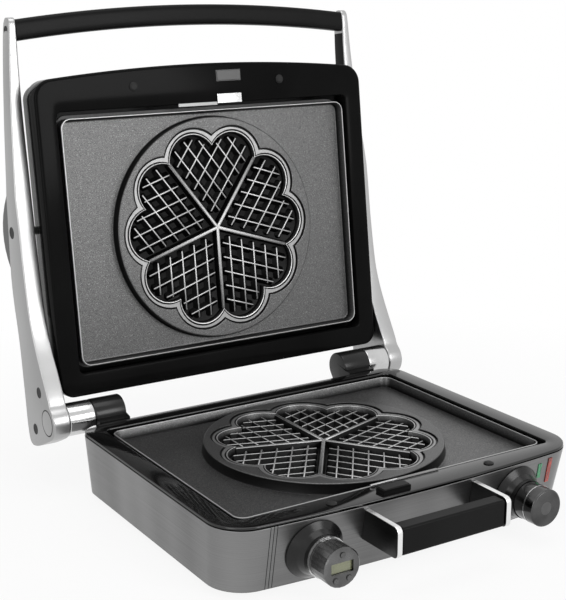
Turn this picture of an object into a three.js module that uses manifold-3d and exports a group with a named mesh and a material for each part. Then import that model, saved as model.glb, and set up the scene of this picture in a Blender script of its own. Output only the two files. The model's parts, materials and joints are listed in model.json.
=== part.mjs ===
// Heart waffle maker: a countertop cooker whose lid swings on two side arms.
// Millimetres, Z up, front towards -Y, X to the right. The lid stands open.
// The finished group is moved so that its origin is the middle of the feet plane.
import * as THREE from 'three';
import { mergeVertices } from 'three/addons/utils/BufferGeometryUtils.js';
import Module from 'manifold-3d';

const wasm = await Module();
wasm.setup();

// Fits
const clearance = 0.3;
const overrun = 1;
const mergeDistance = 1e-4;

// Round mould of five hearts: the plates are sized round it, and the casing and lid round the plates
const heartCount = 5;
const mouldNotch = 83;
const mouldLobeRise = 15.7;
const mouldStepTipWidth = 6.7;
const mouldStepNotchWidth = 11;
const mouldDepth = 8.5;
const mouldStepDepth = 1.3;
const spokeWidth = 3.2;
const spokeDrop = 2;
const gridPitch = 14.6;
const gridWidth = 1.8;
const gridDrop = 4;
const gridStart = 5;
const gridEnd = 4.5;
const gridSink = 0.5;
const gridCrossDrop = 0.4;
const gridLines = 5;
const discBand = 6.1;
const discDraft = 1.2;
const discDrop = 0.3;

// Baking plates, alike above and below
const plateMarginX = 49.5;
const plateMarginY = 7.5;
const plateRadius = 10;
const plateFloorDepth = 10;
const plateFloorThickness = 3.5;
const plateRimWall = 2.4;
const plateWallDraft = 1.2;
const plateRimDrop = 1.5;

// Heating elements and their reflectors
const elementDiameter = 7;
const elementInsetX = 22;
const elementInsetY = 16;
const reflectorInsetX = 21;
const reflectorInsetY = 19;
const reflectorFlange = 22;
const reflectorRadius = 12;
const reflectorSheet = 1.2;

// Plate releases
const buttonX = 23;
const buttonWidth = 28;
const buttonDepth = 11;
const buttonProud = 4.5;
const lidButtonProud = 1.2;
const buttonSink = 5;
const buttonTravel = 2.2;
const buttonBack = 9.5;
const buttonIntoBow = 4.4;
const lidButtonBack = 21;
const lidButtonIntoBow = 2.5;
const catchHalfWidth = 36;
const catchThickness = 1.6;
const catchRise = 2;
const catchDrop = 12.6;
const catchLip = 1.8;
const catchLipThickness = 1.2;
const catchTravel = buttonTravel;
const linkWidth = 12;
const linkThickness = 2;
const linkDrop = 7.4;

// Deck around the lower plate
const deckRise = 3;
const deckThickness = 2;
const deckEdgeInset = 0.4;
const deckNeckDepth = 8;
const deckNeckWall = 2;
const deckSideBand = 20;
const deckRearBand = 17.9;
const bossTopGap = 22;
const openingMargin = 4;
const openingRadius = 6;
const skirtWall = 2;

// Timer on the left and temperature dial on the right; the casing is as high as their collars need
const windowWidth = 21;
const windowHeight = 9.6;
const lensThickness = 1.1;
const lensPocket = 1.6;
const keyRadius = 2.3;
const keyLength = 3.4;
const keyProud = 1;
const keyAboveWindow = 6;
const keyBelowWindow = 5;
const keyLowSpread = 6.3;
const keyTravel = 0.7;
const keyToRim = 3.9;
const controlProud = 42;
const controlBevel = 0.9;
const collarNeckStep = 0.6;
const collarWaistStep = 2.4;
const collarFlare = 6;
const collarFlareShare = 0.6;
const collarProud = 19;
const collarSink = 8;
const collarToTop = 3;
const collarToFoot = 2.5;
const ringStep = 0.9;
const ringWidth = 2.2;
const spigotRadius = 8;
const spigotSink = 12;
const faceThickness = 1.8;
const shaftRadius = 3;
const shaftEngagement = 13;
const knobRingWidth = 1;
const knobRingDepth = 0.6;
const knobRingProud = 0.35;
const knobRingBack = 10.5;
const thermostatWidth = 28;
const thermostatDepth = 24;
const thermostatGap = 4;
const timerGap = 19;
const dialGap = 25;
const lightWidth = 4.4;
const lightProud = 0.8;
const lightBack = 1.2;
const readyGap = 1.5;
const readyTop = 6.5;
const readyHeight = 14;
const lightPitch = 12.5;
const powerTop = 3.5;
const powerHeight = 24;

// Front handle
const gripHalfLength = 53.7;
const gripProud = 52;
const gripDepth = 14;
const gripHeight = 24;
const gripTop = 4.5;
const gripEdge = 3;
const bracketThickness = 5;
const bracketAhead = 1;
const bracketMargin = 1.5;
const bracketCorner = 6;

// Base casing
const baseBow = 10;
const baseFrontRadius = 30;
const baseRearRadius = 22;
const steelThickness = 1.5;
const steelSideDraft = 5;
const steelFrontDraft = 10;
const footHeight = 6;
const footRadius = 9;
const footToeRadius = 7;
const footStemRadius = 2.6;
const footStemHeight = 5;
const footSideInset = 34;
const footFrontInset = 34;
const footRearInset = 20;
const panWallHeight = 15;
const panWall = 1.5;
const panFloor = 1.2;
const postRadius = 5;
const postSideInset = 13.5;
const postFrontInset = 46;
const postRearInset = 44;
const supportRadius = 6;
const supportInset = 20;
const ventCount = 5;
const ventLength = 90;
const ventWidth = 4;
const ventPitch = 16;

// Lid
const lidBow = 10;
const lidFrontRadius = 17;
const lidRearRadius = 14;
const lidRearBand = 21.5;
const lidOpeningMargin = 6.5;
const lidFrameHeight = 24;
const lidFrameWall = 2.2;
const lidFaceThickness = 2.5;
const lidShellInset = 3;
const lidShellHeight = 29.8;
const lidShellWallShare = 0.4;
const lidShellCrownInset = 30;
const lidShellWall = 1;
const closedGap = 5;

// Hinge
const openDegrees = 97.4;
const hingeAboveSteel = 4;
const hubRadius = 17;
const hubToLid = 1.5;
const hubToCollar = 1;
const collarLength = 26;
const towerLength = 32;
const towerDepth = 42;
const towerFootDepth = 10;
const pinRadius = 6;
const pinHeadWidth = 6;
const pinHeadHeight = 2.2;
const pinEndWall = 3;

// Arms, measured forward and up from the hinge axis with the lid shut
const armGap = 2.7;
const armRootWidth = 17.3;
const armTipWidth = 7;
const armLean = 12.3;
const armPastLid = 61.5;
const armAbovePivot = 15;
const armTipLow = 30.75;
const armTipCorner = 3;
const pivotAhead = 14.5;
const pivotRadius = 4;
const pivotHeadRadius = 5.5;
const pivotHeadHeight = 1.6;
const pivotHeadDepth = 1;
const pivotEngagement = 8;
const earRadius = 13;
const earLift = 3.7;
const linerInset = 1.2;
const linerThickness = 1.6;
const linerBehindPivot = 84;
const linerToHandle = 1.5;
const padLength = 70;
const padInset = 1;
const padFall = 7;
const padProud = 15;
const padSunk = 2.5;
const padWidth = 9;
const handleTipInset = 23;
const handleHeight = 22;
const handleThickness = 15;
const handleMargin = 0.5;
const handleArch = 11;
const handleEdge = 4;
const screwRadius = 4.6;
const screwHeight = 2.4;
const screwDepth = 0.8;
const screwTipInset = 12;

// Small fittings
const plugRadius = 4.6;
const plugProud = 1.4;
const plugDomeShare = 0.6;
const plugStemRadius = 2;
const plugStemLength = 4;
const plugX = 83;
const plugBack = 12;
const lidPlugBack = 20;
const glandX = 70;
const glandLift = 28;
const glandBore = 4;
const glandSpigot = 6.5;
const glandFlange = 2.5;
const glandTipShare = 0.7;
const glandLength = 14;
const glandInside = 10;

// Sizes and places that follow from the sizes above, from the mould outwards
const mouldTip = mouldNotch + mouldLobeRise;
const mouldStepTip = mouldTip + mouldStepTipWidth;
const mouldStepNotch = mouldNotch + mouldStepNotchWidth;
const discRadius = mouldStepTip + discBand;
const plateHalfX = discRadius + plateMarginX;
const plateHalfY = discRadius + plateMarginY;
const plateHeight = plateFloorDepth + plateFloorThickness;
const openingHalfX = plateHalfX + openingMargin;
const openingHalfY = plateHalfY + openingMargin;
const deckFrontBand = buttonBack + buttonDepth - buttonIntoBow;
const plateCentreY = deckFrontBand + openingHalfY;
const baseHalf = openingHalfX + deckSideBand;
const baseDepth = plateCentreY + openingHalfY + deckRearBand;

// Controls, spaced outwards from the front handle
const keyTopRise = windowHeight / 2 + keyAboveWindow;
const keyLowDrop = windowHeight / 2 + keyBelowWindow;
const controlRadius = keyTopRise + keyRadius + keyToRim;
const collarNeck = controlRadius + collarNeckStep;
const collarWaist = collarNeck + collarWaistStep;
const collarBase = collarWaist + collarFlare;
const ringRadius = controlRadius + ringStep;
const bracketOuter = gripHalfLength + clearance + bracketThickness;
const bracketProud = gripProud + bracketAhead;
const timerX = -bracketOuter - timerGap - collarBase;
const dialX = bracketOuter + dialGap + collarBase;
const readyX = dialX + collarBase + readyGap;
const powerX = readyX + lightPitch;

// Levels of the base
const controlDrop = collarBase + collarToTop;
const steelHeight = controlDrop + collarBase + collarToFoot;
const steelTop = footHeight + steelHeight;
const controlZ = steelTop - controlDrop;
const deckTop = steelTop + deckRise;
const plateRimZ = deckTop - plateRimDrop;
const plateUnderZ = plateRimZ - plateHeight;
const reflectorHalfX = plateHalfX - reflectorInsetX;
const reflectorHalfY = plateHalfY - reflectorInsetY;
const reflectorDepth = elementDiameter + 2 * clearance;
const elementHalfX = reflectorHalfX - elementInsetX;
const elementHalfY = reflectorHalfY - elementInsetY;
const thermostatTop = plateUnderZ - clearance - reflectorSheet - thermostatGap;
const thermostatHeight = 2 * (thermostatTop - controlZ);
const glandRadius = glandSpigot + glandFlange;
const glandZ = footHeight + glandLift;

// Lid and hinge, placed so that the plates meet when the lid is shut
const hingeToLid = hubRadius + hubToLid;
const collarRadius = hubRadius - hubToCollar;
const hingeZ = steelTop + hingeAboveSteel;
const rimUp = deckTop + closedGap - hingeZ;
const lidOpeningHalfY = plateHalfY + lidOpeningMargin;
const lidPlateCentre = lidRearBand + lidOpeningHalfY;
const lidFrontBand = lidButtonBack + buttonDepth - lidButtonIntoBow;
const lidDepth = lidPlateCentre + lidOpeningHalfY + lidFrontBand;
const hingeY = plateCentreY + lidPlateCentre + hingeToLid;
const lidRearY = -hingeToLid;
const lidFrontY = lidRearY - lidDepth;
const lidPlateY = lidRearY - lidPlateCentre;
const pinHeadRadius = pinRadius + pinHeadWidth;
const openAngle = THREE.MathUtils.degToRad(openDegrees);

// Arms beside the lid, which they hold at the ears on its shell
const armInner = baseHalf + armGap;
const armOuter = armInner + armRootWidth;
const armEnd = armPastLid - lidFrontY;
const pivotReach = pivotAhead - lidPlateY;
const pivotUp = rimUp + lidFrameHeight + clearance + earRadius + earLift;
const armHeight = pivotUp + armAbovePivot;
const armTipHigh = armTipLow + handleThickness + 2 * handleMargin;
const leanStart = pivotReach + padLength / 2;
const linerStart = pivotReach - linerBehindPivot;
const handleStart = armEnd - handleTipInset;
const linerEnd = handleStart - linerToHandle;
const handleLift = armTipLow + handleMargin;
const screwReach = armEnd - screwTipInset;
const screwUp = (armTipLow + armTipHigh) / 2;
const collarInner = armInner - clearance - collarLength;
const towerOuter = collarInner - clearance;
const towerInner = towerOuter - towerLength;

// Counts of facets
const cornerSteps = 4;
const bowSteps = 4;
const lobeSteps = 5;
const discSides = 50;
const roundSides = 24;
const smallSides = 10;
const elementSides = 6;
const elementSteps = 28;
const crownSteps = 3;
const handleSteps = 8;

// Closed mesh and solid helpers

function loft(rings) {
  const count = rings[0].points.length;
  const top = (rings.length - 1) * count;
  const positions = [];
  const faces = [];
  for (const { points, z } of rings) {
    for (const point of points) {
      positions.push(point.x, point.y, z);
    }
  }
  for (const [a, b, c] of THREE.ShapeUtils.triangulateShape(rings[0].points, [])) {
    faces.push(c, b, a);
  }
  for (const [a, b, c] of THREE.ShapeUtils.triangulateShape(rings[rings.length - 1].points, [])) {
    faces.push(top + a, top + b, top + c);
  }
  for (let level = 0; level < top; level += count) {
    for (let i = 0; i < count; i += 1) {
      const j = (i + 1) % count;
      faces.push(level + i, level + j, level + count + j);
      faces.push(level + i, level + count + j, level + count + i);
    }
  }
  const geometry = new THREE.BufferGeometry();
  geometry.setAttribute('position', new THREE.Float32BufferAttribute(positions, 3));
  geometry.setIndex(faces);
  return geometry;
}

function toSolid(geometry) {
  const bare = geometry.clone();
  bare.deleteAttribute('normal');
  bare.deleteAttribute('uv');
  const merged = mergeVertices(bare, mergeDistance);
  const vertProperties = new Float32Array(merged.attributes.position.array);
  const triVerts = new Uint32Array(merged.index.array);
  return new wasm.Manifold(new wasm.Mesh({ numProp: 3, vertProperties, triVerts }));
}

function toGeometry(solid) {
  const mesh = solid.getMesh();
  const geometry = new THREE.BufferGeometry();
  geometry.setAttribute('position', new THREE.BufferAttribute(new Float32Array(mesh.vertProperties), 3));
  geometry.setIndex(new THREE.BufferAttribute(new Uint32Array(mesh.triVerts), 1));
  geometry.computeVertexNormals();
  return geometry;
}

function join(first, ...others) {
  return others.reduce((solid, other) => solid.add(other), first);
}

function cut(first, ...others) {
  return others.reduce((solid, other) => solid.subtract(other), first);
}

// A prism of an outline, from z0 up to z1
function slab(points, z0, z1) {
  return toSolid(loft([{ points, z: z0 }, { points, z: z1 }]));
}

// A side profile in Y and Z, carried along X from x0 to x1
const profileToX = new THREE.Matrix4().set(0, 0, 1, 0, 1, 0, 0, 0, 0, 1, 0, 0, 0, 0, 0, 1);

function sideSlab(points, x0, x1) {
  return toSolid(loft([{ points, z: x0 }, { points, z: x1 }]).applyMatrix4(profileToX));
}

function block(x0, x1, y0, y1, z0, z1) {
  const geometry = new THREE.BoxGeometry(x1 - x0, y1 - y0, z1 - z0);
  geometry.translate((x0 + x1) / 2, (y0 + y1) / 2, (z0 + z1) / 2);
  return toSolid(geometry);
}

function circle(radius, sides, centreX = 0, centreY = 0) {
  const points = [];
  for (let i = 0; i < sides; i += 1) {
    const angle = (2 * Math.PI * (i + 0.5)) / sides;
    points.push(new THREE.Vector2(centreX + radius * Math.cos(angle), centreY + radius * Math.sin(angle)));
  }
  return points;
}

// A turned piece: pairs of radius and height in rising order, about Z
function turned(profile, sides) {
  return loft(profile.map(([radius, z]) => ({ points: circle(radius, sides), z })));
}

const zToY = new THREE.Matrix4().set(0, 1, 0, 0, 0, 0, 1, 0, 1, 0, 0, 0, 0, 0, 0, 1);

function turnedZ(profile, sides, x, y, z = 0) {
  return toSolid(turned(profile, sides).translate(x, y, z));
}

function turnedY(profile, sides, x, z) {
  return toSolid(turned(profile, sides).applyMatrix4(zToY).translate(x, 0, z));
}

function turnedX(profile, sides, y, z) {
  return toSolid(turned(profile, sides).applyMatrix4(profileToX).translate(0, y, z));
}

function rod(radius, from, to) {
  return [[radius, from], [radius, to]];
}

// Rounded outline with a bowed front, counterclockwise, drawn in by inset
function outline({ halfX, front, rear, bow, frontRadius, rearRadius }, inset = 0) {
  const right = halfX - inset;
  const low = front + inset;
  const high = rear - inset;
  const small = Math.max(frontRadius - inset, frontRadius / 4);
  const large = Math.max(rearRadius - inset, rearRadius / 4);
  const points = [];
  const corner = (x, y, radius, start) => {
    for (let i = 0; i <= cornerSteps; i += 1) {
      const angle = start + (Math.PI / 2) * (i / cornerSteps);
      points.push(new THREE.Vector2(x + radius * Math.cos(angle), y + radius * Math.sin(angle)));
    }
  };
  corner(right - large, high - large, large, 0);
  corner(large - right, high - large, large, Math.PI / 2);
  corner(small - right, low + small, small, Math.PI);
  for (let i = 1; i < bowSteps; i += 1) {
    points.push(new THREE.Vector2((right - small) * (2 * (i / bowSteps) - 1), low));
  }
  corner(right - small, low + small, small, (3 * Math.PI) / 2);
  for (const point of points) {
    const across = 1 - (point.x / halfX) ** 2;
    const forward = (rear - point.y) / (rear - front);
    point.y -= bow * across * forward;
  }
  return points;
}

function rectangle(halfX, front, rear, radius, inset = 0) {
  return outline({ halfX, front, rear, bow: 0, frontRadius: radius, rearRadius: radius }, inset);
}

const deckShape = {
  halfX: baseHalf,
  front: 0,
  rear: baseDepth,
  bow: baseBow,
  frontRadius: baseFrontRadius,
  rearRadius: baseRearRadius,
};

// The casing leans in towards its foot, so its outline depends on the height
function wallOutline(z, inset) {
  const lean = (steelTop - z) / steelHeight;
  const shape = {
    ...deckShape,
    halfX: baseHalf - steelSideDraft * lean,
    front: steelFrontDraft * lean,
  };
  return outline(shape, inset);
}

function wallSolid(inset, low, high) {
  return toSolid(loft([
    { points: wallOutline(low, inset), z: low },
    { points: wallOutline(high, inset), z: high },
  ]));
}

const casingEnvelope = wallSolid(-clearance, footHeight - overrun, steelTop + overrun);

// Materials by finish

const finishes = {
  brushedSteel: { color: 0xa9a9a7, roughness: 0.35, metalness: 1 },
  brushedAluminium: { color: 0xd4d5d6, roughness: 0.4, metalness: 1 },
  chrome: { color: 0xe2e2e2, roughness: 0.12, metalness: 1 },
  gunmetal: { color: 0x4a4a49, roughness: 0.3, metalness: 1 },
  glossBlack: { color: 0x0d0d0e, roughness: 0.12, metalness: 0 },
  matteBlack: { color: 0x191919, roughness: 0.5, metalness: 0 },
  bakedBlack: { color: 0x161616, roughness: 0.5, metalness: 0.4 },
  coatedPlate: { color: 0x3b3c3e, roughness: 0.5, metalness: 0.3 },
  element: { color: 0x6c6a66, roughness: 0.5, metalness: 1 },
  reflector: { color: 0xb9bbbd, roughness: 0.3, metalness: 1 },
  rubber: { color: 0x1c1c1c, roughness: 0.9, metalness: 0 },
  display: { color: 0x8d8f6c, roughness: 0.2, metalness: 0 },
  greenLens: { color: 0x1f7d45, roughness: 0.2, metalness: 0 },
  redLens: { color: 0xb02a20, roughness: 0.2, metalness: 0 },
  softGrey: { color: 0x55575a, roughness: 0.5, metalness: 0 },
};

function piece(group, name, solid, finish) {
  const material = new THREE.MeshStandardMaterial(finishes[finish]);
  const mesh = new THREE.Mesh(toGeometry(solid), material);
  mesh.name = name;
  group.add(mesh);
}

// Casing

function slotsForLights(grow) {
  return [
    [readyX, readyTop, readyHeight],
    [powerX, powerTop, powerHeight],
  ].map(([x, top, height]) => block(
    x - lightWidth / 2 - grow,
    x + lightWidth / 2 + grow,
    -baseBow - overrun,
    steelFrontDraft + lightBack,
    steelTop - top - height - grow,
    steelTop - top + grow,
  ));
}

function frontHole(radius, x) {
  return turnedY(rod(radius, -baseBow - controlProud, steelFrontDraft + overrun), roundSides, x, controlZ);
}

function steelWrap() {
  const outer = wallSolid(0, footHeight, steelTop);
  const inner = wallSolid(steelThickness, footHeight - overrun, steelTop + overrun);
  const glandHole = turnedY(
    rod(glandSpigot + clearance, baseDepth - steelThickness - overrun, baseDepth + overrun),
    smallSides,
    glandX,
    glandZ,
  );
  return cut(
    outer,
    inner,
    frontHole(spigotRadius + clearance, timerX),
    frontHole(shaftRadius + clearance, dialX),
    ...slotsForLights(clearance),
    glandHole,
  );
}

const postPlaces = [
  [-1, postFrontInset],
  [1, postFrontInset],
  [-1, baseDepth - postRearInset],
  [1, baseDepth - postRearInset],
].map(([side, y]) => [side * (baseHalf - postSideInset), y]);

const footPlaces = [
  [-1, footFrontInset],
  [1, footFrontInset],
  [-1, baseDepth - footRearInset],
  [1, baseDepth - footRearInset],
].map(([side, y]) => [side * (baseHalf - footSideInset), y]);

function basePan() {
  const skin = steelThickness + clearance;
  const wallTop = footHeight + panWallHeight;
  const floorTop = footHeight + panFloor;
  const supportTop = plateUnderZ - clearance - reflectorSheet - reflectorDepth - clearance;
  let pan = cut(
    wallSolid(skin, footHeight, wallTop),
    wallSolid(skin + panWall, floorTop, wallTop + overrun),
  );
  for (const [x, y] of postPlaces) {
    pan = pan.add(turnedZ(rod(postRadius, floorTop - panFloor / 2, steelTop - bossTopGap), smallSides, x, y));
  }
  for (const sideX of [-1, 1]) {
    for (const sideY of [-1, 1]) {
      const support = rod(supportRadius, floorTop - panFloor / 2, supportTop);
      const x = sideX * (reflectorHalfX - supportInset);
      const y = plateCentreY + sideY * (reflectorHalfY - supportInset);
      pan = pan.add(turnedZ(support, smallSides, x, y));
    }
  }
  for (let i = 0; i < ventCount; i += 1) {
    const y = plateCentreY + (i - (ventCount - 1) / 2) * ventPitch;
    pan = pan.subtract(block(
      -ventLength / 2,
      ventLength / 2,
      y - ventWidth / 2,
      y + ventWidth / 2,
      footHeight - overrun,
      floorTop + overrun,
    ));
  }
  for (const [x, y] of footPlaces) {
    const holeTop = footHeight + footStemHeight + clearance;
    const hole = rod(footStemRadius + clearance, footHeight - overrun, holeTop);
    pan = pan.subtract(turnedZ(hole, smallSides, x, y));
  }
  return pan;
}

function foot(x, y) {
  const top = footHeight - clearance;
  return turnedZ([
    [footToeRadius, 0],
    [footRadius, footHeight / 3],
    [footRadius, top],
    [footStemRadius, top],
    [footStemRadius, footHeight + footStemHeight],
  ], smallSides, x, y);
}

function deckFrame() {
  const slabLow = deckTop - deckThickness;
  const neckLow = steelTop - deckNeckDepth;
  const neckInset = steelThickness + clearance + steelFrontDraft * (deckNeckDepth / steelHeight);
  const front = plateCentreY - openingHalfY;
  const rear = plateCentreY + openingHalfY;
  const skirt = rectangle(openingHalfX, front, rear, openingRadius, -skirtWall);
  const opening = rectangle(openingHalfX, front, rear, openingRadius);
  const neck = cut(
    slab(outline(deckShape, neckInset), neckLow, slabLow + deckThickness / 2),
    slab(outline(deckShape, neckInset + deckNeckWall), neckLow - overrun, slabLow),
  );
  let deck = join(
    slab(outline(deckShape, deckEdgeInset), slabLow, deckTop),
    neck,
    slab(skirt, plateUnderZ, slabLow + deckThickness / 2),
  );
  for (const [x, y] of postPlaces) {
    const boss = rod(postRadius, steelTop - bossTopGap + clearance, slabLow + deckThickness / 2);
    deck = deck.add(turnedZ(boss, smallSides, x, y));
  }
  return cut(
    deck,
    slab(opening, plateUnderZ - overrun, deckTop + overrun),
    ...slotsForLights(clearance),
    ...releaseCuts(deckTop, plateUnderZ, front, buttonBack, -buttonX, 1),
    ...[-plugX, plugX].map((x) => plugHole(x, deckPlugY, deckTop, 1)),
  );
}

// Cuts in a frame for a release button and its catch; side is 1 on the deck, -1 on the lid
function releaseCuts(face, low, front, back, x, side) {
  const span = (a, b) => [Math.min(a, b), Math.max(a, b)];
  const far = face + side * overrun;
  return [
    block(
      x - buttonWidth / 2 - clearance,
      x + buttonWidth / 2 + clearance,
      front - back - buttonDepth - clearance,
      front - back + clearance,
      ...span(face - side * (buttonSink + buttonTravel + clearance), far),
    ),
    block(
      -catchHalfWidth - clearance,
      catchHalfWidth + clearance,
      front - catchThickness / 2 - catchTravel - clearance,
      front + overrun,
      ...span(low - side * overrun, far),
    ),
  ];
}

// Plates

function polar(radius, angle) {
  return new THREE.Vector2(radius * Math.cos(angle), radius * Math.sin(angle));
}

// Ten round lobes, two to a heart, meeting at notches; one heart's notch faces the front
function rosette(tip, notch) {
  const step = Math.PI / heartCount;
  const middle = (tip ** 2 - notch ** 2) / (2 * (tip - notch * Math.cos(step / 2)));
  const points = [];
  for (let lobe = 0; lobe < 2 * heartCount; lobe += 1) {
    const from = lobe * step - Math.PI / 2;
    const centre = polar(middle, from + step / 2);
    const start = polar(notch, from).sub(centre).angle();
    const end = polar(notch, from + step).sub(centre).angle();
    const sweep = (end - start + 2 * Math.PI) % (2 * Math.PI);
    for (let i = 0; i < lobeSteps; i += 1) {
      points.push(polar(tip - middle, start + sweep * (i / lobeSteps)).add(centre));
    }
  }
  return points;
}

// A straight bar in the XY plane from one point to another
function bar(from, to, width, low, high) {
  const along = to.clone().sub(from);
  const normal = new THREE.Vector2(-along.y, along.x).normalize().multiplyScalar(width / 2);
  const points = [
    from.clone().sub(normal),
    to.clone().sub(normal),
    to.clone().add(normal),
    from.clone().add(normal),
  ];
  return slab(points, low, high);
}

function heartGrid(floor) {
  const low = floor - gridSink;
  const high = -discDrop - gridDrop;
  const spoke = (2 * Math.PI) / heartCount;
  let grid = null;
  for (let heart = 0; heart < heartCount; heart += 1) {
    const axis = heart * spoke - Math.PI / 2;
    for (const side of [-1, 1]) {
      const along = polar(1, axis + (side * spoke) / 2);
      const across = polar(1, axis - (side * spoke) / 2);
      const top = side < 0 ? high : high - gridCrossDrop;
      for (let line = 1; line <= gridLines; line += 1) {
        const from = across.clone().multiplyScalar(line * gridPitch);
        const to = from.clone().add(along.clone().multiplyScalar(mouldTip));
        from.add(along.clone().multiplyScalar(gridStart));
        const ridge = bar(from, to, gridWidth, low, top);
        grid = grid === null ? ridge : grid.add(ridge);
      }
    }
  }
  const limit = slab(rosette(mouldTip - gridEnd, mouldNotch - gridEnd), low - overrun, high + overrun);
  return grid.intersect(limit);
}

// One plate about its own centre, rim at height zero, baking side up
function bakingPlate() {
  const rim = rectangle(plateHalfX, -plateHalfY, plateHalfY, plateRadius);
  const under = rectangle(plateHalfX, -plateHalfY, plateHalfY, plateRadius, plateRimWall);
  const wellTop = rectangle(plateHalfX, -plateHalfY, plateHalfY, plateRadius, plateRimWall - plateWallDraft);
  const wellFloor = rectangle(plateHalfX, -plateHalfY, plateHalfY, plateRadius, plateRimWall);
  const discTop = -discDrop;
  const floor = discTop - mouldDepth;
  const body = toSolid(loft([
    { points: under, z: -plateHeight },
    { points: rim, z: -plateFloorDepth },
    { points: rim, z: 0 },
  ]));
  const well = toSolid(loft([
    { points: wellFloor, z: -plateFloorDepth },
    { points: wellTop, z: overrun },
  ]));
  const disc = toSolid(loft([
    { points: circle(discRadius + discDraft, discSides), z: -plateFloorDepth - discDraft },
    { points: circle(discRadius, discSides), z: discTop },
  ]));
  let plate = cut(
    body.subtract(well).add(disc),
    slab(rosette(mouldStepTip, mouldStepNotch), discTop - mouldStepDepth, overrun),
    slab(rosette(mouldTip, mouldNotch), floor, overrun),
  );
  for (let i = 0; i < heartCount; i += 1) {
    const angle = ((2 * i + 1) * Math.PI) / heartCount - Math.PI / 2;
    const end = polar(mouldNotch + spokeWidth / 2, angle);
    plate = plate.add(bar(new THREE.Vector2(), end, spokeWidth, floor - gridSink, discTop - spokeDrop));
  }
  return plate.add(heartGrid(floor));
}

// Element path in shares of its half sizes, open at the rear
const elementShares = [
  [-0.2, 1],
  [-0.82, 0.97],
  [-1, 0.55],
  [-1, -0.55],
  [-0.82, -0.97],
  [0, -1],
  [0.82, -0.97],
  [1, -0.55],
  [1, 0.55],
  [0.82, 0.97],
  [0.2, 1],
];

function heatingElement() {
  const points = elementShares.map(([x, y]) => new THREE.Vector3(x * elementHalfX, y * elementHalfY, 0));
  const path = new THREE.CatmullRomCurve3(points);
  const section = new THREE.Shape(circle(elementDiameter / 2, elementSides));
  return toSolid(new THREE.ExtrudeGeometry(section, {
    steps: elementSteps,
    bevelEnabled: false,
    extrudePath: path,
  }));
}

// Shallow tray with a flange, flange top at height zero
function reflectorTray() {
  const flange = rectangle(
    reflectorHalfX + reflectorFlange,
    -reflectorHalfY - reflectorFlange,
    reflectorHalfY + reflectorFlange,
    reflectorRadius,
  );
  const inner = rectangle(reflectorHalfX, -reflectorHalfY, reflectorHalfY, reflectorRadius);
  const outer = rectangle(reflectorHalfX, -reflectorHalfY, reflectorHalfY, reflectorRadius, -reflectorSheet);
  return cut(
    join(
      slab(flange, -reflectorSheet, 0),
      slab(outer, -reflectorDepth - reflectorSheet, -reflectorSheet / 2),
    ),
    slab(inner, -reflectorDepth, overrun),
  );
}

// Releases: button, and catch with a lip over the plate rim. Front edge of the opening is front
function releaseButton(front, back, proud) {
  const half = buttonWidth / 2;
  const y1 = front - back;
  return join(
    block(-half, half, y1 - buttonDepth, y1, -buttonSink, proud - controlBevel),
    toSolid(loft([
      { points: rectangle(half, y1 - buttonDepth, y1, controlBevel * 2), z: proud - controlBevel * 2 },
      { points: rectangle(half, y1 - buttonDepth, y1, controlBevel * 2, controlBevel), z: proud },
    ])),
  );
}

function plateCatch(front, rimFront, back, rise) {
  const y0 = front - catchThickness / 2;
  const y1 = front + catchThickness / 2;
  const lipLow = -plateRimDrop + clearance;
  return join(
    block(-catchHalfWidth, catchHalfWidth, y0, y1, -catchDrop, rise),
    block(-catchHalfWidth, catchHalfWidth, y0, rimFront + catchLip, lipLow, lipLow + catchLipThickness),
    block(
      -buttonX - linkWidth / 2,
      -buttonX + linkWidth / 2,
      front - back - buttonDepth / 2,
      y1,
      -linkDrop - linkThickness,
      -linkDrop,
    ),
  );
}

// Screw plugs with a low dome
function plug(x, y, face, side) {
  const shape = turned([
    [plugStemRadius, -plugStemLength],
    [plugStemRadius, 0],
    [plugRadius, clearance],
    [plugRadius, clearance + plugProud / 3],
    [plugRadius * plugDomeShare, clearance + plugProud],
  ], smallSides);
  if (side < 0) {
    shape.rotateY(Math.PI);
  }
  return toSolid(shape.translate(x, y, face));
}

function plugHole(x, y, face, side) {
  const reach = (plugStemLength + clearance) * side;
  const low = Math.min(face - reach, face + side * overrun);
  const high = Math.max(face - reach, face + side * overrun);
  return turnedZ(rod(plugStemRadius + clearance, low, high), smallSides, x, y);
}

const deckPlugY = plateCentreY - openingHalfY - plugBack;
const lidOpeningFront = lidPlateY - lidOpeningHalfY;
const lidPlugY = lidOpeningFront - lidPlugBack;

// Controls

function controlCollar(x, bore) {
  const body = turnedY([
    [collarNeck, -collarProud],
    [collarNeck, -collarProud + ringWidth],
    [collarWaist, -collarProud + (collarProud - baseBow / 2) * collarFlareShare],
    [collarBase, -baseBow / 2 + overrun],
    [collarBase, collarSink],
  ], roundSides, x, controlZ);
  return cut(body, casingEnvelope, frontHole(bore + clearance, x));
}

const controlBack = -collarProud - clearance - ringWidth - clearance;
const faceBack = -controlProud + faceThickness;

function timerRing() {
  const low = -collarProud - clearance - ringWidth;
  return cut(
    turnedY(rod(ringRadius, low, low + ringWidth), roundSides, timerX, controlZ),
    frontHole(spigotRadius + clearance, timerX),
  );
}

const keyPlaces = {
  timer_key_top: [0, keyTopRise],
  timer_key_left: [-keyLowSpread, -keyLowDrop],
  timer_key_right: [keyLowSpread, -keyLowDrop],
};

function keyRod(radius, from, to, [x, z]) {
  return turnedY(rod(radius, from, to), smallSides, timerX + x, controlZ + z);
}

const keyBack = -controlProud - keyProud + keyLength;

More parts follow.
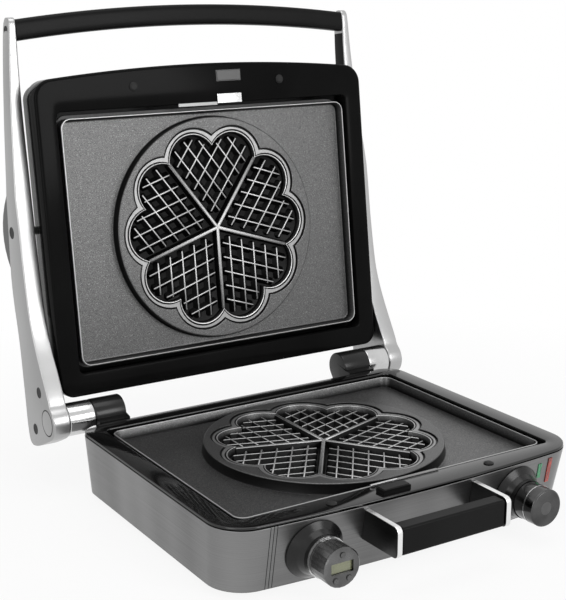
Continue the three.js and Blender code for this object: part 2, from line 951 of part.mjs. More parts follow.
function timerBody() {
  const pockets = Object.values(keyPlaces).map((place) => keyRod(
    keyRadius + clearance,
    faceBack - overrun,
    keyBack + keyTravel + clearance,
    place,
  ));
  return cut(
    join(
      turnedY(rod(controlRadius, faceBack + clearance, controlBack), roundSides, timerX, controlZ),
      turnedY(rod(spigotRadius, controlBack - overrun, spigotSink), roundSides, timerX, controlZ),
    ),
    windowBlock(0, faceBack - overrun, faceBack + clearance + lensPocket),
    ...pockets,
  );
}

function windowBlock(inset, y0, y1) {
  return block(
    timerX - windowWidth / 2 + inset,
    timerX + windowWidth / 2 - inset,
    y0,
    y1,
    controlZ - windowHeight / 2 + inset,
    controlZ + windowHeight / 2 - inset,
  );
}

function timerFace() {
  return cut(
    turnedY([
      [controlRadius - controlBevel, -controlProud],
      [controlRadius, -controlProud + controlBevel],
      [controlRadius, faceBack],
    ], roundSides, timerX, controlZ),
    windowBlock(0, -controlProud - overrun, faceBack + overrun),
    ...Object.values(keyPlaces).map((place) => keyRod(
      keyRadius + clearance,
      -controlProud - overrun,
      faceBack + overrun,
      place,
    )),
  );
}

function timerLens() {
  const back = faceBack + lensPocket;
  return windowBlock(clearance, back - lensThickness, back);
}

function temperatureKnob() {
  const grooveFront = -controlProud + knobRingBack;
  const grooveBack = grooveFront + knobRingWidth;
  const groove = controlRadius - knobRingDepth;
  return cut(
    turnedY([
      [controlRadius - controlBevel, -controlProud],
      [controlRadius, -controlProud + controlBevel],
      [controlRadius, grooveFront],
      [groove, grooveFront],
      [groove, grooveBack],
      [controlRadius, grooveBack],
      [controlRadius, -collarProud - clearance],
    ], roundSides, dialX, controlZ),
    turnedY(
      rod(shaftRadius + clearance, -collarProud - clearance - shaftEngagement, -collarProud + overrun),
      smallSides,
      dialX,
      controlZ,
    ),
  );
}

function knobRing() {
  const front = -controlProud + knobRingBack + clearance / 3;
  const back = front + knobRingWidth - (2 * clearance) / 3;
  const inside = controlRadius - knobRingDepth + clearance / 2;
  return cut(
    turnedY(rod(controlRadius + knobRingProud, front, back), roundSides, dialX, controlZ),
    turnedY(rod(inside, front - overrun, back + overrun), roundSides, dialX, controlZ),
  );
}

function thermostat() {
  const halfX = thermostatWidth / 2;
  const halfZ = thermostatHeight / 2;
  const inside = wallSolid(steelThickness + clearance, footHeight, steelTop);
  const body = block(
    dialX - halfX,
    dialX + halfX,
    -baseBow,
    thermostatDepth,
    controlZ - halfZ,
    controlZ + halfZ,
  ).intersect(inside);
  const bore = rod(shaftRadius + clearance, -baseBow - overrun, thermostatDepth / 2 + clearance);
  return body.subtract(turnedY(bore, smallSides, dialX, controlZ));
}

function thermostatShaft() {
  const ends = rod(shaftRadius, -collarProud - shaftEngagement, thermostatDepth / 2);
  return turnedY(ends, smallSides, dialX, controlZ);
}

function lights() {
  const shell = cut(
    wallSolid(-lightProud, footHeight, steelTop),
    wallSolid(steelThickness + lightBack, footHeight - overrun, steelTop + overrun),
  );
  return slotsForLights(0).map((tool) => shell.intersect(tool));
}

// Front handle

function roundedProfile(y0, y1, z0, z1, radius) {
  const halfY = (y1 - y0) / 2;
  const points = rectangle(halfY, -(z1 - z0) / 2, (z1 - z0) / 2, radius);
  return points.map((point) => new THREE.Vector2(point.x + (y0 + y1) / 2, point.y + (z0 + z1) / 2));
}

function handleBracket(side) {
  const near = side * (gripHalfLength + clearance);
  const far = side * (gripHalfLength + clearance + bracketThickness);
  const high = steelTop - gripTop + bracketMargin;
  const low = high - gripHeight - 2 * bracketMargin;
  const profile = roundedProfile(-bracketProud, steelFrontDraft + bracketCorner, low, high, bracketCorner);
  return cut(sideSlab(profile, Math.min(near, far), Math.max(near, far)), casingEnvelope);
}

function gripBar() {
  const high = steelTop - gripTop;
  const profile = roundedProfile(-gripProud, -gripProud + gripDepth, high - gripHeight, high, gripEdge);
  return sideSlab(profile, -gripHalfLength, gripHalfLength);
}

// Hinge towers, collars and pins

const towerArcStart = -Math.PI / 6;
const towerArcSweep = Math.PI * 1.15;

function hingeTower(side) {
  const low = steelTop - towerDepth;
  const wall = baseDepth + clearance;
  const points = [
    new THREE.Vector2(wall, low),
    new THREE.Vector2(wall + towerFootDepth, low),
  ];
  for (let i = 0; i <= 2 * cornerSteps; i += 1) {
    const angle = towerArcStart + towerArcSweep * (i / (2 * cornerSteps));
    points.push(new THREE.Vector2(
      hingeY + collarRadius * Math.cos(angle),
      hingeZ + collarRadius * Math.sin(angle),
    ));
  }
  points.push(new THREE.Vector2(wall, hingeZ));
  const x0 = side < 0 ? -towerOuter : towerInner;
  const bore = rod(pinRadius + clearance, towerInner + pinEndWall, towerOuter + overrun);
  return cut(sideSlab(points, x0, x0 + towerLength), sided(bore, side, roundSides, hingeY, hingeZ));
}

// A turned piece along X on the right side, or its mirror image on the left
function sided(profile, side, sides, y, z) {
  const rings = side < 0 ? profile.map(([radius, x]) => [radius, -x]).reverse() : profile;
  return turnedX(rings, sides, y, z);
}

function hingeCollar(side) {
  const inner = rod(pinRadius + clearance, collarInner - overrun, armInner + overrun);
  const outer = [
    [collarRadius, collarInner],
    [collarRadius, armInner - clearance],
  ];
  return cut(
    sided(outer, side, roundSides, hingeY, hingeZ),
    sided(inner, side, roundSides, hingeY, hingeZ),
  );
}

const armPinHeadLow = armOuter - pinHeadHeight;

function hingePin(side) {
  return sided([
    [pinRadius, towerInner + pinEndWall + clearance],
    [pinRadius, armPinHeadLow],
    [pinHeadRadius, armPinHeadLow],
    [pinHeadRadius, armOuter],
  ], side, roundSides, hingeY, hingeZ);
}

// The arm's outline, lid shut: shares of its length forward and of its height up, from the hinge axis
const armLowerShares = [
  [0.079, -0.058],
  [0.131, 0.083],
  [0.183, 0.215],
  [0.236, 0.322],
  [0.293, 0.383],
  [0.406, 0.433],
  [0.51, 0.45],
  [0.602, 0.475],
  [0.694, 0.517],
  [0.785, 0.542],
  [0.89, 0.538],
];
const armUpperShares = [
  [0.89, 0.842],
  [0.746, 0.867],
  [0.641, 0.855],
  [0.568, 0.85],
  [0.385, 0.983],
  [0.34, 1],
  [0.288, 0.982],
  [0.236, 0.938],
  [0.183, 0.908],
  [0.039, 0.895],
];

// The heel behind the axis: shares of the hub's radius back and of the arm's height up
const armHeelShares = [
  [-0.6, 0.895],
  [-1.35, 0.858],
  [-1.65, 0.775],
  [-1.68, 0.6],
  [-1.32, 0.2],
];
const hubArcStart = Math.PI * 1.125;
const hubArcSweep = Math.PI * 0.72;

function armProfile(inset) {
  const points = [];
  for (let i = 0; i <= cornerSteps; i += 1) {
    const angle = hubArcStart + hubArcSweep * (i / cornerSteps);
    points.push([hubRadius * Math.cos(angle), hubRadius * Math.sin(angle)]);
  }
  points.push(...armLowerShares.map(([forward, up]) => [forward * armEnd, up * armHeight + inset]));
  points.push([armEnd - armTipCorner, armTipLow + inset]);
  points.push([armEnd, armTipLow + armTipCorner]);
  points.push([armEnd, armTipHigh - armTipCorner]);
  points.push([armEnd - armTipCorner, armTipHigh - inset]);
  points.push(...armUpperShares.map(([forward, up]) => [forward * armEnd, up * armHeight - inset]));
  points.push(...armHeelShares.map(([back, up]) => [back * hubRadius, up * armHeight]));
  return points.map(([forward, up]) => new THREE.Vector2(-forward, up)).reverse();
}

// How far the arm's outer and inner faces stand from the middle: straight up to the pad, then leaning in
function armOuterAt(forward) {
  const share = Math.max(0, forward - leanStart) / (armEnd - leanStart);
  return armOuter - armLean * share;
}

function armInnerAt(forward) {
  const share = Math.max(0, forward - leanStart) / (armEnd - leanStart);
  return armInner + (armRootWidth - armLean - armTipWidth) * share;
}

// Upright prism over the arm's plan, between the faces that near and far give along it
function armPlan(side, near, far) {
  const rear = armHeight;
  const front = armEnd + armTipCorner;
  const points = [
    new THREE.Vector2(near(-rear), rear),
    new THREE.Vector2(near(leanStart), -leanStart),
    new THREE.Vector2(near(front), -front),
    new THREE.Vector2(far(front), -front),
    new THREE.Vector2(far(leanStart), -leanStart),
    new THREE.Vector2(far(-rear), rear),
  ];
  const placed = side < 0 ? points.map((p) => new THREE.Vector2(-p.x, p.y)).reverse() : points;
  return slab(placed, -2 * hubRadius, armHeight + hubRadius);
}

function sideRange(side, near, far) {
  return side < 0 ? [-far, -near] : [near, far];
}

const padY = -pivotReach;
const padBase = armHeight - padInset;

// A lens on the arm's upper edge, which falls away towards the tip
function padProfile(grow) {
  const points = [];
  const half = padLength / 2 + grow;
  const add = (along, bulge) => {
    const level = padBase - padFall * ((1 - along) / 2) + bulge * (1 - along ** 2);
    points.push(new THREE.Vector2(padY + half * along, level));
  };
  for (let i = 0; i <= 2 * cornerSteps; i += 1) {
    add(1 - i / cornerSteps, padProud + grow);
  }
  for (let i = 1; i < 2 * cornerSteps; i += 1) {
    add(i / cornerSteps - 1, -padSunk - grow);
  }
  return points;
}

function armPad(side) {
  const near = armOuter - padWidth;
  return sideSlab(padProfile(0), ...sideRange(side, near, armOuter - screwDepth));
}

const screwFace = armOuterAt(screwReach) - screwDepth;
const linerOuterAt = (forward) => armInnerAt(forward) + linerThickness;
const linerSeatAt = (forward) => linerOuterAt(forward) + clearance;
const freeInnerAt = (forward) => armInnerAt(forward) - overrun;

// The stretch of the arm that the liner covers, drawn in or out by grow
function linerShape(side, grow, near, far) {
  const profile = sideSlab(armProfile(linerInset - grow), ...sideRange(side, 0, armOuter));
  const stretch = block(
    ...sideRange(side, 0, armOuter),
    -linerEnd - grow,
    -linerStart + grow,
    -hubRadius,
    armHeight,
  );
  return profile.intersect(stretch).intersect(armPlan(side, near, far));
}

function arm(side) {
  const body = sideSlab(armProfile(0), ...sideRange(side, 0, armOuter));
  const deep = rod(pinRadius + clearance, armInner - overrun, armOuter);
  const head = rod(pinHeadRadius + clearance, armPinHeadLow - clearance, armOuter + overrun);
  const pivot = rod(pivotRadius + clearance, armInner - overrun, armOuter);
  const pivotHead = rod(
    pivotHeadRadius + clearance,
    armOuter - pivotHeadDepth - pivotHeadHeight - clearance,
    armOuter + overrun,
  );
  const screw = rod(screwRadius + clearance, screwFace - screwHeight - clearance, armOuter + overrun);
  return cut(
    body.intersect(armPlan(side, armInnerAt, armOuterAt)),
    linerShape(side, clearance, freeInnerAt, linerSeatAt),
    sided(deep, side, roundSides, 0, 0),
    sided(head, side, roundSides, 0, 0),
    sided(pivot, side, smallSides, -pivotReach, pivotUp),
    sided(pivotHead, side, smallSides, -pivotReach, pivotUp),
    sided(screw, side, smallSides, -screwReach, screwUp),
    sideSlab(padProfile(clearance), ...sideRange(side, armOuter - padWidth - clearance, armOuter + overrun)),
  );
}

function armLiner(side) {
  const bore = rod(pivotRadius + clearance, armInner - overrun, armOuter);
  return cut(
    linerShape(side, 0, armInnerAt, linerOuterAt),
    sided(bore, side, smallSides, -pivotReach, pivotUp),
  );
}

function pivotPin(side) {
  const headLow = armOuter - pivotHeadDepth - pivotHeadHeight;
  return sided([
    [pivotRadius, armInner - clearance - pivotEngagement],
    [pivotRadius, headLow],
    [pivotHeadRadius, headLow],
    [pivotHeadRadius, headLow + pivotHeadHeight],
  ], side, smallSides, -pivotReach, pivotUp);
}

function handleScrew(side) {
  return sided(rod(screwRadius, screwFace - screwHeight, screwFace), side, smallSides, -screwReach, screwUp);
}

// Arched bar between the arm tips
function topHandle() {
  const halfRear = armInnerAt(handleStart) - clearance;
  const halfFront = armInnerAt(handleStart + handleHeight) - clearance;
  const rear = [];
  const front = [];
  for (let i = 0; i <= handleSteps; i += 1) {
    const across = 2 * (i / handleSteps) - 1;
    const arch = handleArch * (1 - across ** 2);
    front.push([across * halfFront, handleStart + handleHeight + arch]);
    rear.push([-across * halfRear, handleStart + arch]);
  }
  const shape = (inset) => [
    ...front.map(([x, forward]) => new THREE.Vector2(x, inset - forward)),
    ...rear.map(([x, forward]) => new THREE.Vector2(x, -forward - inset)),
  ];
  const high = handleLift + handleThickness;
  return toSolid(loft([
    { points: shape(handleEdge), z: handleLift },
    { points: shape(handleEdge / 4), z: handleLift + handleEdge },
    { points: shape(0), z: high - handleEdge },
    { points: shape(handleEdge), z: high },
  ]));
}

// Lid

const lidShape = {
  halfX: baseHalf,
  front: lidFrontY,
  rear: lidRearY,
  bow: lidBow,
  frontRadius: lidFrontRadius,
  rearRadius: lidRearRadius,
};
const lidOpeningRear = lidPlateY + lidOpeningHalfY;
const lidPlateRim = rimUp + plateRimDrop;
const lidPlateTop = lidPlateRim + plateHeight;
const lidFrameTop = rimUp + lidFrameHeight;

function lidFrame() {
  const skirt = rectangle(openingHalfX, lidOpeningFront, lidOpeningRear, openingRadius, -skirtWall);
  const opening = rectangle(openingHalfX, lidOpeningFront, lidOpeningRear, openingRadius);
  const faceTop = rimUp + lidFaceThickness;
  return cut(
    join(
      cut(
        slab(outline(lidShape), rimUp, lidFrameTop),
        slab(outline(lidShape, lidFrameWall), faceTop, lidFrameTop + overrun),
      ),
      slab(skirt, faceTop - lidFaceThickness / 2, lidPlateTop),
    ),
    slab(opening, rimUp - overrun, lidPlateTop + overrun),
    ...releaseCuts(rimUp, lidPlateTop, lidOpeningFront, lidButtonBack, buttonX, -1),
    ...[-plugX, plugX].map((x) => plugHole(x, lidPlugY, rimUp, -1)),
  );
}

function shellLevels(inset, base) {
  const rings = [];
  for (let i = 0; i <= crownSteps; i += 1) {
    const turn = (Math.PI / 2) * (i / crownSteps);
    const crown = lidShellCrownInset * (1 - Math.cos(turn));
    const riseShare = i === 0 ? 0 : lidShellWallShare + (1 - lidShellWallShare) * Math.sin(turn);
    rings.push({
      points: outline(lidShape, lidShellInset + inset + crown),
      z: base + (lidShellHeight - inset) * riseShare,
    });
  }
  return rings;
}

function lidShell() {
  const base = lidFrameTop + clearance;
  const rim = slab(outline(lidShape, lidFrameWall / 2), base, base + lidShellWall);
  const outer = join(rim, toSolid(loft(shellLevels(0, base))));
  const inner = loft([
    { points: outline(lidShape, lidShellInset + lidShellWall), z: base - overrun },
    ...shellLevels(lidShellWall, base),
  ]);
  let shell = outer;
  for (const side of [-1, 1]) {
    const ear = rod(earRadius, baseHalf - lidShellInset - lidShellCrownInset, armInner - clearance);
    shell = shell.add(sided(ear, side, roundSides, -pivotReach, pivotUp));
  }
  shell = shell.subtract(toSolid(inner));
  for (const side of [-1, 1]) {
    const depth = armInner - clearance - pivotEngagement - clearance;
    const bore = rod(pivotRadius + clearance, depth, armInner + overrun);
    shell = shell.subtract(sided(bore, side, smallSides, -pivotReach, pivotUp));
  }
  return shell;
}

// Cord gland, with nothing in it
function cordGland() {
  return cut(
    turnedY([
      [glandSpigot, baseDepth - glandInside],
      [glandSpigot, baseDepth + clearance],
      [glandRadius, baseDepth + clearance],
      [glandRadius * glandTipShare, baseDepth + glandLength],
    ], smallSides, glandX, glandZ),
    turnedY(
      rod(glandBore, baseDepth - glandInside - overrun, baseDepth + glandLength + overrun),
      smallSides,
      glandX,
      glandZ,
    ),
  );
}

// Assembly

const model = new THREE.Group();
const base = new THREE.Group();
const arms = new THREE.Group();
const lid = new THREE.Group();
model.add(base);
model.add(arms);
arms.add(lid);
arms.position.set(0, hingeY, hingeZ);
arms.rotation.x = -openAngle;

const plate = bakingPlate();
const element = heatingElement();
const tray = reflectorTray();
const flip = new THREE.Matrix4().makeRotationY(Math.PI);

// Places a copy of a solid, turned over for the lid when side is -1
function placed(solid, side, y, z) {
  const geometry = toGeometry(solid);
  if (side < 0) {
    geometry.applyMatrix4(flip);
  }
  return toSolid(geometry.translate(0, y, z));
}

const elementGap = elementDiameter / 2 + clearance;

piece(base, 'base_pan', basePan(), 'bakedBlack');
piece(base, 'steel_wrap', steelWrap(), 'brushedSteel');
piece(base, 'deck_frame', deckFrame(), 'glossBlack');
piece(base, 'lower_plate', placed(plate, 1, plateCentreY, plateRimZ), 'coatedPlate');
piece(base, 'lower_element', placed(element, 1, plateCentreY, plateUnderZ - elementGap), 'element');
piece(base, 'lower_reflector', placed(tray, 1, plateCentreY, plateUnderZ - clearance), 'reflector');
piece(base, 'thermostat', thermostat(), 'softGrey');
piece(base, 'thermostat_shaft', thermostatShaft(), 'element');
piece(base, 'dial_collar', controlCollar(dialX, shaftRadius), 'glossBlack');
piece(base, 'timer_collar', controlCollar(timerX, spigotRadius), 'glossBlack');
piece(base, 'temperature_knob', temperatureKnob(), 'gunmetal');
piece(base, 'temperature_knob_ring', knobRing(), 'chrome');
piece(base, 'timer_ring', timerRing(), 'chrome');
piece(base, 'timer_body', timerBody(), 'gunmetal');
piece(base, 'timer_face', timerFace(), 'brushedAluminium');
piece(base, 'timer_lens', timerLens(), 'display');
for (const [name, place] of Object.entries(keyPlaces)) {
  piece(base, name, keyRod(keyRadius, -controlProud - keyProud, keyBack, place), 'softGrey');
}
const [readyLight, powerLight] = lights();
piece(base, 'ready_light', readyLight, 'greenLens');
piece(base, 'power_light', powerLight, 'redLens');
piece(base, 'front_grip', gripBar(), 'matteBlack');
piece(base, 'cord_gland', cordGland(), 'matteBlack');
footPlaces.forEach(([x, y], index) => {
  piece(base, `foot_${index + 1}`, foot(x, y), 'rubber');
});

const deckFront = plateCentreY - openingHalfY;
const deckButton = releaseButton(deckFront, buttonBack, buttonProud);
const deckCatch = plateCatch(deckFront, plateCentreY - plateHalfY, buttonBack, catchRise);
piece(base, 'lower_release_button', deckButton.translate([-buttonX, 0, deckTop]), 'matteBlack');
piece(base, 'lower_catch', deckCatch.translate([0, 0, deckTop]), 'chrome');

const lidButton = releaseButton(lidOpeningFront, lidButtonBack, lidButtonProud);
const lidCatch = plateCatch(lidOpeningFront, lidPlateY - plateHalfY, lidButtonBack, catchRise);
piece(lid, 'lid_shell', lidShell(), 'brushedSteel');
piece(lid, 'lid_frame', lidFrame(), 'glossBlack');
piece(lid, 'upper_plate', placed(plate, -1, lidPlateY, lidPlateRim), 'coatedPlate');
piece(lid, 'upper_element', placed(element, -1, lidPlateY, lidPlateTop + elementGap), 'element');
piece(lid, 'upper_reflector', placed(tray, -1, lidPlateY, lidPlateTop + clearance), 'reflector');
piece(lid, 'upper_release_button', placed(lidButton.translate([-buttonX, 0, 0]), -1, 0, rimUp), 'softGrey');
piece(lid, 'upper_catch', placed(lidCatch, -1, 0, rimUp), 'chrome');
piece(arms, 'top_handle', topHandle(), 'matteBlack');

for (const [side, word] of [[-1, 'left'], [1, 'right']]) {
  piece(base, `handle_bracket_${word}`, handleBracket(side), 'brushedAluminium');
  piece(base, `hinge_tower_${word}`, hingeTower(side), 'glossBlack');
  piece(base, `hinge_collar_${word}`, hingeCollar(side), 'chrome');
  piece(base, `hinge_pin_${word}`, hingePin(side), 'brushedAluminium');
  piece(base, `deck_plug_${word}`, plug(side * plugX, deckPlugY, deckTop, 1), 'rubber');
  piece(lid, `lid_plug_${word}`, plug(side * plugX, lidPlugY, rimUp, -1), 'rubber');
  piece(arms, `arm_${word}`, arm(side), 'brushedAluminium');
  piece(arms, `arm_liner_${word}`, armLiner(side), 'matteBlack');
  piece(arms, `arm_pad_${word}`, armPad(side), 'softGrey');
  piece(arms, `pivot_pin_${word}`, pivotPin(side), 'element');
  piece(arms, `handle_screw_${word}`, handleScrew(side), 'element');
}

model.updateMatrixWorld(true);
const bounds = new THREE.Box3().setFromObject(model, true);
const middle = bounds.getCenter(new THREE.Vector3());
model.position.set(-middle.x, -middle.y, -bounds.min.z);

export default model;
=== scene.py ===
"""A heart waffle maker, dressed: steel casing, glossy frames, coated plates, two swinging arms."""

import json
import math

import bmesh
import bpy
import numpy as np
from mathutils import Matrix, Vector


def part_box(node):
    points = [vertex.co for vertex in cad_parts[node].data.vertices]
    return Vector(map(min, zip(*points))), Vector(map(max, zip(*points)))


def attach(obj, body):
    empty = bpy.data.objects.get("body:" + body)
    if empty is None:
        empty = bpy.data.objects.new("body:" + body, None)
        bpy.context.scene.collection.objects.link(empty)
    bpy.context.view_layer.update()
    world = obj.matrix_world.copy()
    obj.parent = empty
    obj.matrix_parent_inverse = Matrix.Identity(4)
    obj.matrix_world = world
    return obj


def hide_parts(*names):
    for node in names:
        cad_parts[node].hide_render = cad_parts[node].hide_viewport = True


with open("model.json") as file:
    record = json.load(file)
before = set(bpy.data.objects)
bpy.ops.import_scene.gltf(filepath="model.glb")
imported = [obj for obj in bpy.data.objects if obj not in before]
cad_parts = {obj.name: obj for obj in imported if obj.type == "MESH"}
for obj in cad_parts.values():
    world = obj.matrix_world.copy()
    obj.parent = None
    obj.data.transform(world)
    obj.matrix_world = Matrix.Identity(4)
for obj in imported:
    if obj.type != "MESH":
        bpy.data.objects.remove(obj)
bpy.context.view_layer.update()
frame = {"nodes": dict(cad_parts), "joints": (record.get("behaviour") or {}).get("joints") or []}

# The photograph's camera, worked out from the object's own edges

IMAGE_HEIGHT = 600
CAMERA_PLACE = Vector((-0.63973, -0.97870, 0.48759))
CAMERA_YAW = 0.562624
CAMERA_PITCH = 0.250226
CAMERA_ROLL = -0.000772
FOCAL_PIXELS = 1304.1
SENSOR_MM = 36
CLIP_NEAR = 0.01
CLIP_FAR = 50


def put_in_scene(name, data):
    """A new object in the scene for a mesh, a lamp or a camera."""
    thing = bpy.data.objects.new(name, data)
    bpy.context.scene.collection.objects.link(thing)
    return thing


def make_camera():
    """A pinhole that looks along yaw and pitch, its picture's middle on the photograph's middle."""
    data = bpy.data.cameras.new("camera")
    camera = put_in_scene("camera", data)
    forward = Vector((
        math.sin(CAMERA_YAW) * math.cos(CAMERA_PITCH),
        math.cos(CAMERA_YAW) * math.cos(CAMERA_PITCH),
        -math.sin(CAMERA_PITCH),
    ))
    level = Vector((math.cos(CAMERA_YAW), -math.sin(CAMERA_YAW), 0))
    above = level.cross(forward)
    right = math.cos(CAMERA_ROLL) * level + math.sin(CAMERA_ROLL) * above
    up = math.cos(CAMERA_ROLL) * above - math.sin(CAMERA_ROLL) * level
    turn = Matrix((right, up, -forward)).transposed()
    camera.matrix_world = Matrix.Translation(CAMERA_PLACE) @ turn.to_4x4()
    data.sensor_fit = "VERTICAL"
    data.sensor_height = SENSOR_MM
    data.lens = FOCAL_PIXELS * SENSOR_MM / IMAGE_HEIGHT
    data.clip_start = CLIP_NEAR
    data.clip_end = CLIP_FAR
    bpy.context.scene.camera = camera


make_camera()

# Places read from the frame

MM = 0.001
HINGE = next(joint for joint in frame["joints"] if joint["name"] == "lid_hinge")
AXIS_Y = HINGE["pos_m"][1]
AXIS_Z = HINGE["pos_m"][2]
OPEN = math.radians(HINGE["range_deg"][1])
CASE_LOW, CASE_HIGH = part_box("steel_wrap")
PLATE_LOW, PLATE_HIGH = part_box("lower_plate")

# Sizes of the casing and deck, in metres

HALF_WIDTH = CASE_HIGH.x
CASE_TOP = CASE_HIGH.z
CASE_BOTTOM = CASE_LOW.z
CASE_REAR = CASE_HIGH.y
BOW = 10 * MM
CASE_FRONT = CASE_LOW.y + BOW
STEEL = 1.5 * MM
SIDE_DRAFT = 5 * MM
FRONT_DRAFT = 10 * MM
FRONT_RADIUS = 30 * MM
REAR_RADIUS = 22 * MM
DECK_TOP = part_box("deck_frame")[1].z
PLATE_RIM = PLATE_HIGH.z
PLATE_CENTRE = (PLATE_LOW.y + PLATE_HIGH.y) / 2
PLATE_HALF_X = PLATE_HIGH.x
PLATE_HALF_Y = (PLATE_HIGH.y - PLATE_LOW.y) / 2
GAP = 0.3 * MM
SIDES = ((-1, "left"), (1, "right"))


def middle_of(node, axis):
    """The middle of a solid's box along an axis, from 0 for X to 2 for Z."""
    low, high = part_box(node)
    return (low[axis] + high[axis]) / 2


CONTROL_Z = middle_of("temperature_knob", 2)
TIMER_X = middle_of("timer_body", 0)
DIAL_X = middle_of("temperature_knob", 0)


def shut_point(forward, up):
    """World Y and Z of a point given forward of the hinge and above it while the lid is shut."""
    y = AXIS_Y - forward * math.cos(OPEN) - up * math.sin(-OPEN)
    z = AXIS_Z - forward * math.sin(-OPEN) + up * math.cos(OPEN)
    return y, z


def open_up(points):
    """Turns points given about the hinge with the lid shut by the opening angle, then moves them there.

    y' = y cos a - z sin a and z' = y sin a + z cos a, with a the opening angle taken backwards."""
    cosine = math.cos(-OPEN)
    sine = math.sin(-OPEN)
    placed = np.array(points, float)
    y = placed[..., 1].copy()
    z = placed[..., 2].copy()
    placed[..., 1] = AXIS_Y + y * cosine - z * sine
    placed[..., 2] = AXIS_Z + y * sine + z * cosine
    return placed


# Meshes from grids of points

TINY = 1e-9
WELD = 1e-6

def finish_mesh(name, points, faces, sharp_degrees=40):
    """A mesh object from an array of points and a list of faces, its normals turned outwards."""
    mesh = bpy.data.meshes.new(name)
    mesh.from_pydata(np.asarray(points, float).reshape(-1, 3).tolist(), [], faces)
    work = bmesh.new()
    work.from_mesh(mesh)
    bmesh.ops.remove_doubles(work, verts=work.verts, dist=WELD)
    bmesh.ops.recalc_face_normals(work, faces=work.faces)
    work.to_mesh(mesh)
    work.free()
    mesh.shade_smooth()
    mesh.set_sharp_from_angle(angle=math.radians(sharp_degrees))
    return put_in_scene(name, mesh)


def grid_faces(rows, around, ring):
    """Quads of a grid of rows by around points, closed around, and closed along too if ring is true."""
    last = rows if ring else rows - 1
    row = np.arange(last)[:, None]
    column = np.arange(around)[None, :]
    after = (column + 1) % around
    above = (row + 1) % rows
    corners = (row * around + column, row * around + after, above * around + after, above * around + column)
    return np.stack([c.reshape(-1) for c in np.broadcast_arrays(*corners)], axis=1)


def loops_mesh(name, loops, ring=False, sharp_degrees=40):
    """Closed loops of points joined in their order; the end loops are closed by fans unless ring is true.

    loops is an array of shape (loops, points around, 3)."""
    loops = np.asarray(loops, float)
    rows, around = loops.shape[:2]
    faces = grid_faces(rows, around, ring).tolist()
    points = loops.reshape(-1, 3)
    if not ring:
        points = np.concatenate([points, loops[:1].mean(axis=1), loops[-1:].mean(axis=1)])
        start = rows * around
        step = np.arange(around)
        after = (step + 1) % around
        first = np.stack([after, step, np.full(around, start)], axis=1)
        final = np.stack([step, after, np.full(around, start + 1)], axis=1)
        final[:, :2] += (rows - 1) * around
        faces += first.tolist() + final.tolist()
    return finish_mesh(name, points, faces, sharp_degrees)


def join_pieces(name, pieces, sharp_degrees):
    """One object that holds the meshes of several, none of which is kept."""
    points = []
    faces = []
    for piece in pieces:
        start = len(points)
        points += [tuple(vertex.co) for vertex in piece.data.vertices]
        faces += [[start + index for index in polygon.vertices] for polygon in piece.data.polygons]
        bpy.data.objects.remove(piece)
    return finish_mesh(name, points, faces, sharp_degrees)


def softened(corners, radius, steps=4):
    """A closed or open line of 2-D corners, each inner one rounded by a quadratic curve.

    The curve runs from radius before the corner to radius after it, with the corner as its control point."""
    corners = [np.array(corner, float) for corner in corners]
    line = [corners[0]]
    for before, corner, after in zip(corners, corners[1:], corners[2:]):
        reach_in = min(radius, np.linalg.norm(before - corner) / 2)
        reach_out = min(radius, np.linalg.norm(after - corner) / 2)
        start = corner + (before - corner) / np.linalg.norm(before - corner) * reach_in
        end = corner + (after - corner) / np.linalg.norm(after - corner) * reach_out
        t = np.linspace(0, 1, steps + 1)[:, None]
        line += list((1 - t) ** 2 * start + 2 * t * (1 - t) * corner + t ** 2 * end)
    line.append(corners[-1])
    return np.array(line)


def turned(name, profile, centre, axis, sides):
    """A profile of (radius, distance) pairs carried round a level axis through centre.

    A point is centre + axis * distance + radius * (up cos a + second sin a), second square to both."""
    axis = np.array(axis, float)
    up = np.array((0.0, 0.0, 1.0))
    second = np.cross(axis, up)
    angle = np.linspace(0, 2 * np.pi, sides, endpoint=False)
    spin = np.cos(angle)[:, None] * up + np.sin(angle)[:, None] * second
    loops = np.array(centre) + profile[:, 1, None, None] * axis + profile[:, 0, None, None] * spin
    return loops_mesh(name, loops)


def block(name, low, high, bevel, segments, place=None):
    """A box between two corners with its edges rounded; place turns its corners into world points."""
    x = np.array([low[0], high[0], high[0], low[0]])
    y = np.array([low[1], low[1], high[1], high[1]])
    loops = [np.stack([x, y, np.full(4, z)], axis=1) for z in (low[2], high[2])]
    faces = [[0, 1, 5, 4], [1, 2, 6, 5], [2, 3, 7, 6], [3, 0, 4, 7], [3, 2, 1, 0], [4, 5, 6, 7]]
    corners = np.array(loops).reshape(-1, 3)
    piece = finish_mesh(name, place(corners) if place else corners, faces, 80)
    rounded_edges(piece, bevel, segments)
    return piece


def vertex_rows(piece, name):
    """A piece's vertex places, named co, or its normals, named normal, as rows of three."""
    values = np.empty(len(piece.data.vertices) * 3)
    piece.data.vertices.foreach_get(name, values)
    return values.reshape(-1, 3)


def mark(piece, name, values):
    """Stores a number for each vertex, which a material reads by its name."""
    layer = piece.data.attributes.new(name, "FLOAT", "POINT")
    layer.data.foreach_set("value", np.asarray(values, np.float32))


# A quarter round at an end: how far in the place is, and how far the line is drawn in, as shares of the edge

END_ROUND = ((0, 1), (0.13, 0.45), (0.5, 0.13), (1, 0))


def carried_across(name, line, middle, inner, outer, side, edge):
    """A closed line of (y, z) carried across in X from inner to outer, its two ends rounded.

    Near the ends the line is drawn in towards its middle by edge (1 - sin a) as x moves edge (1 - cos a)."""
    width = (outer - inner) / edge
    away = line - middle
    size = np.maximum(np.linalg.norm(away, axis=1, keepdims=True), TINY)
    loops = []
    far_end = [(width - x, drawn) for x, drawn in END_ROUND[::-1]]
    for x, drawn in [*END_ROUND, *far_end]:
        drawn_in = line - away / size * edge * drawn
        across = np.full((len(line), 1), side * (inner + x * edge))
        loops.append(np.concatenate([across, drawn_in], axis=1))
    return loops_mesh(name, loops, sharp_degrees=50)


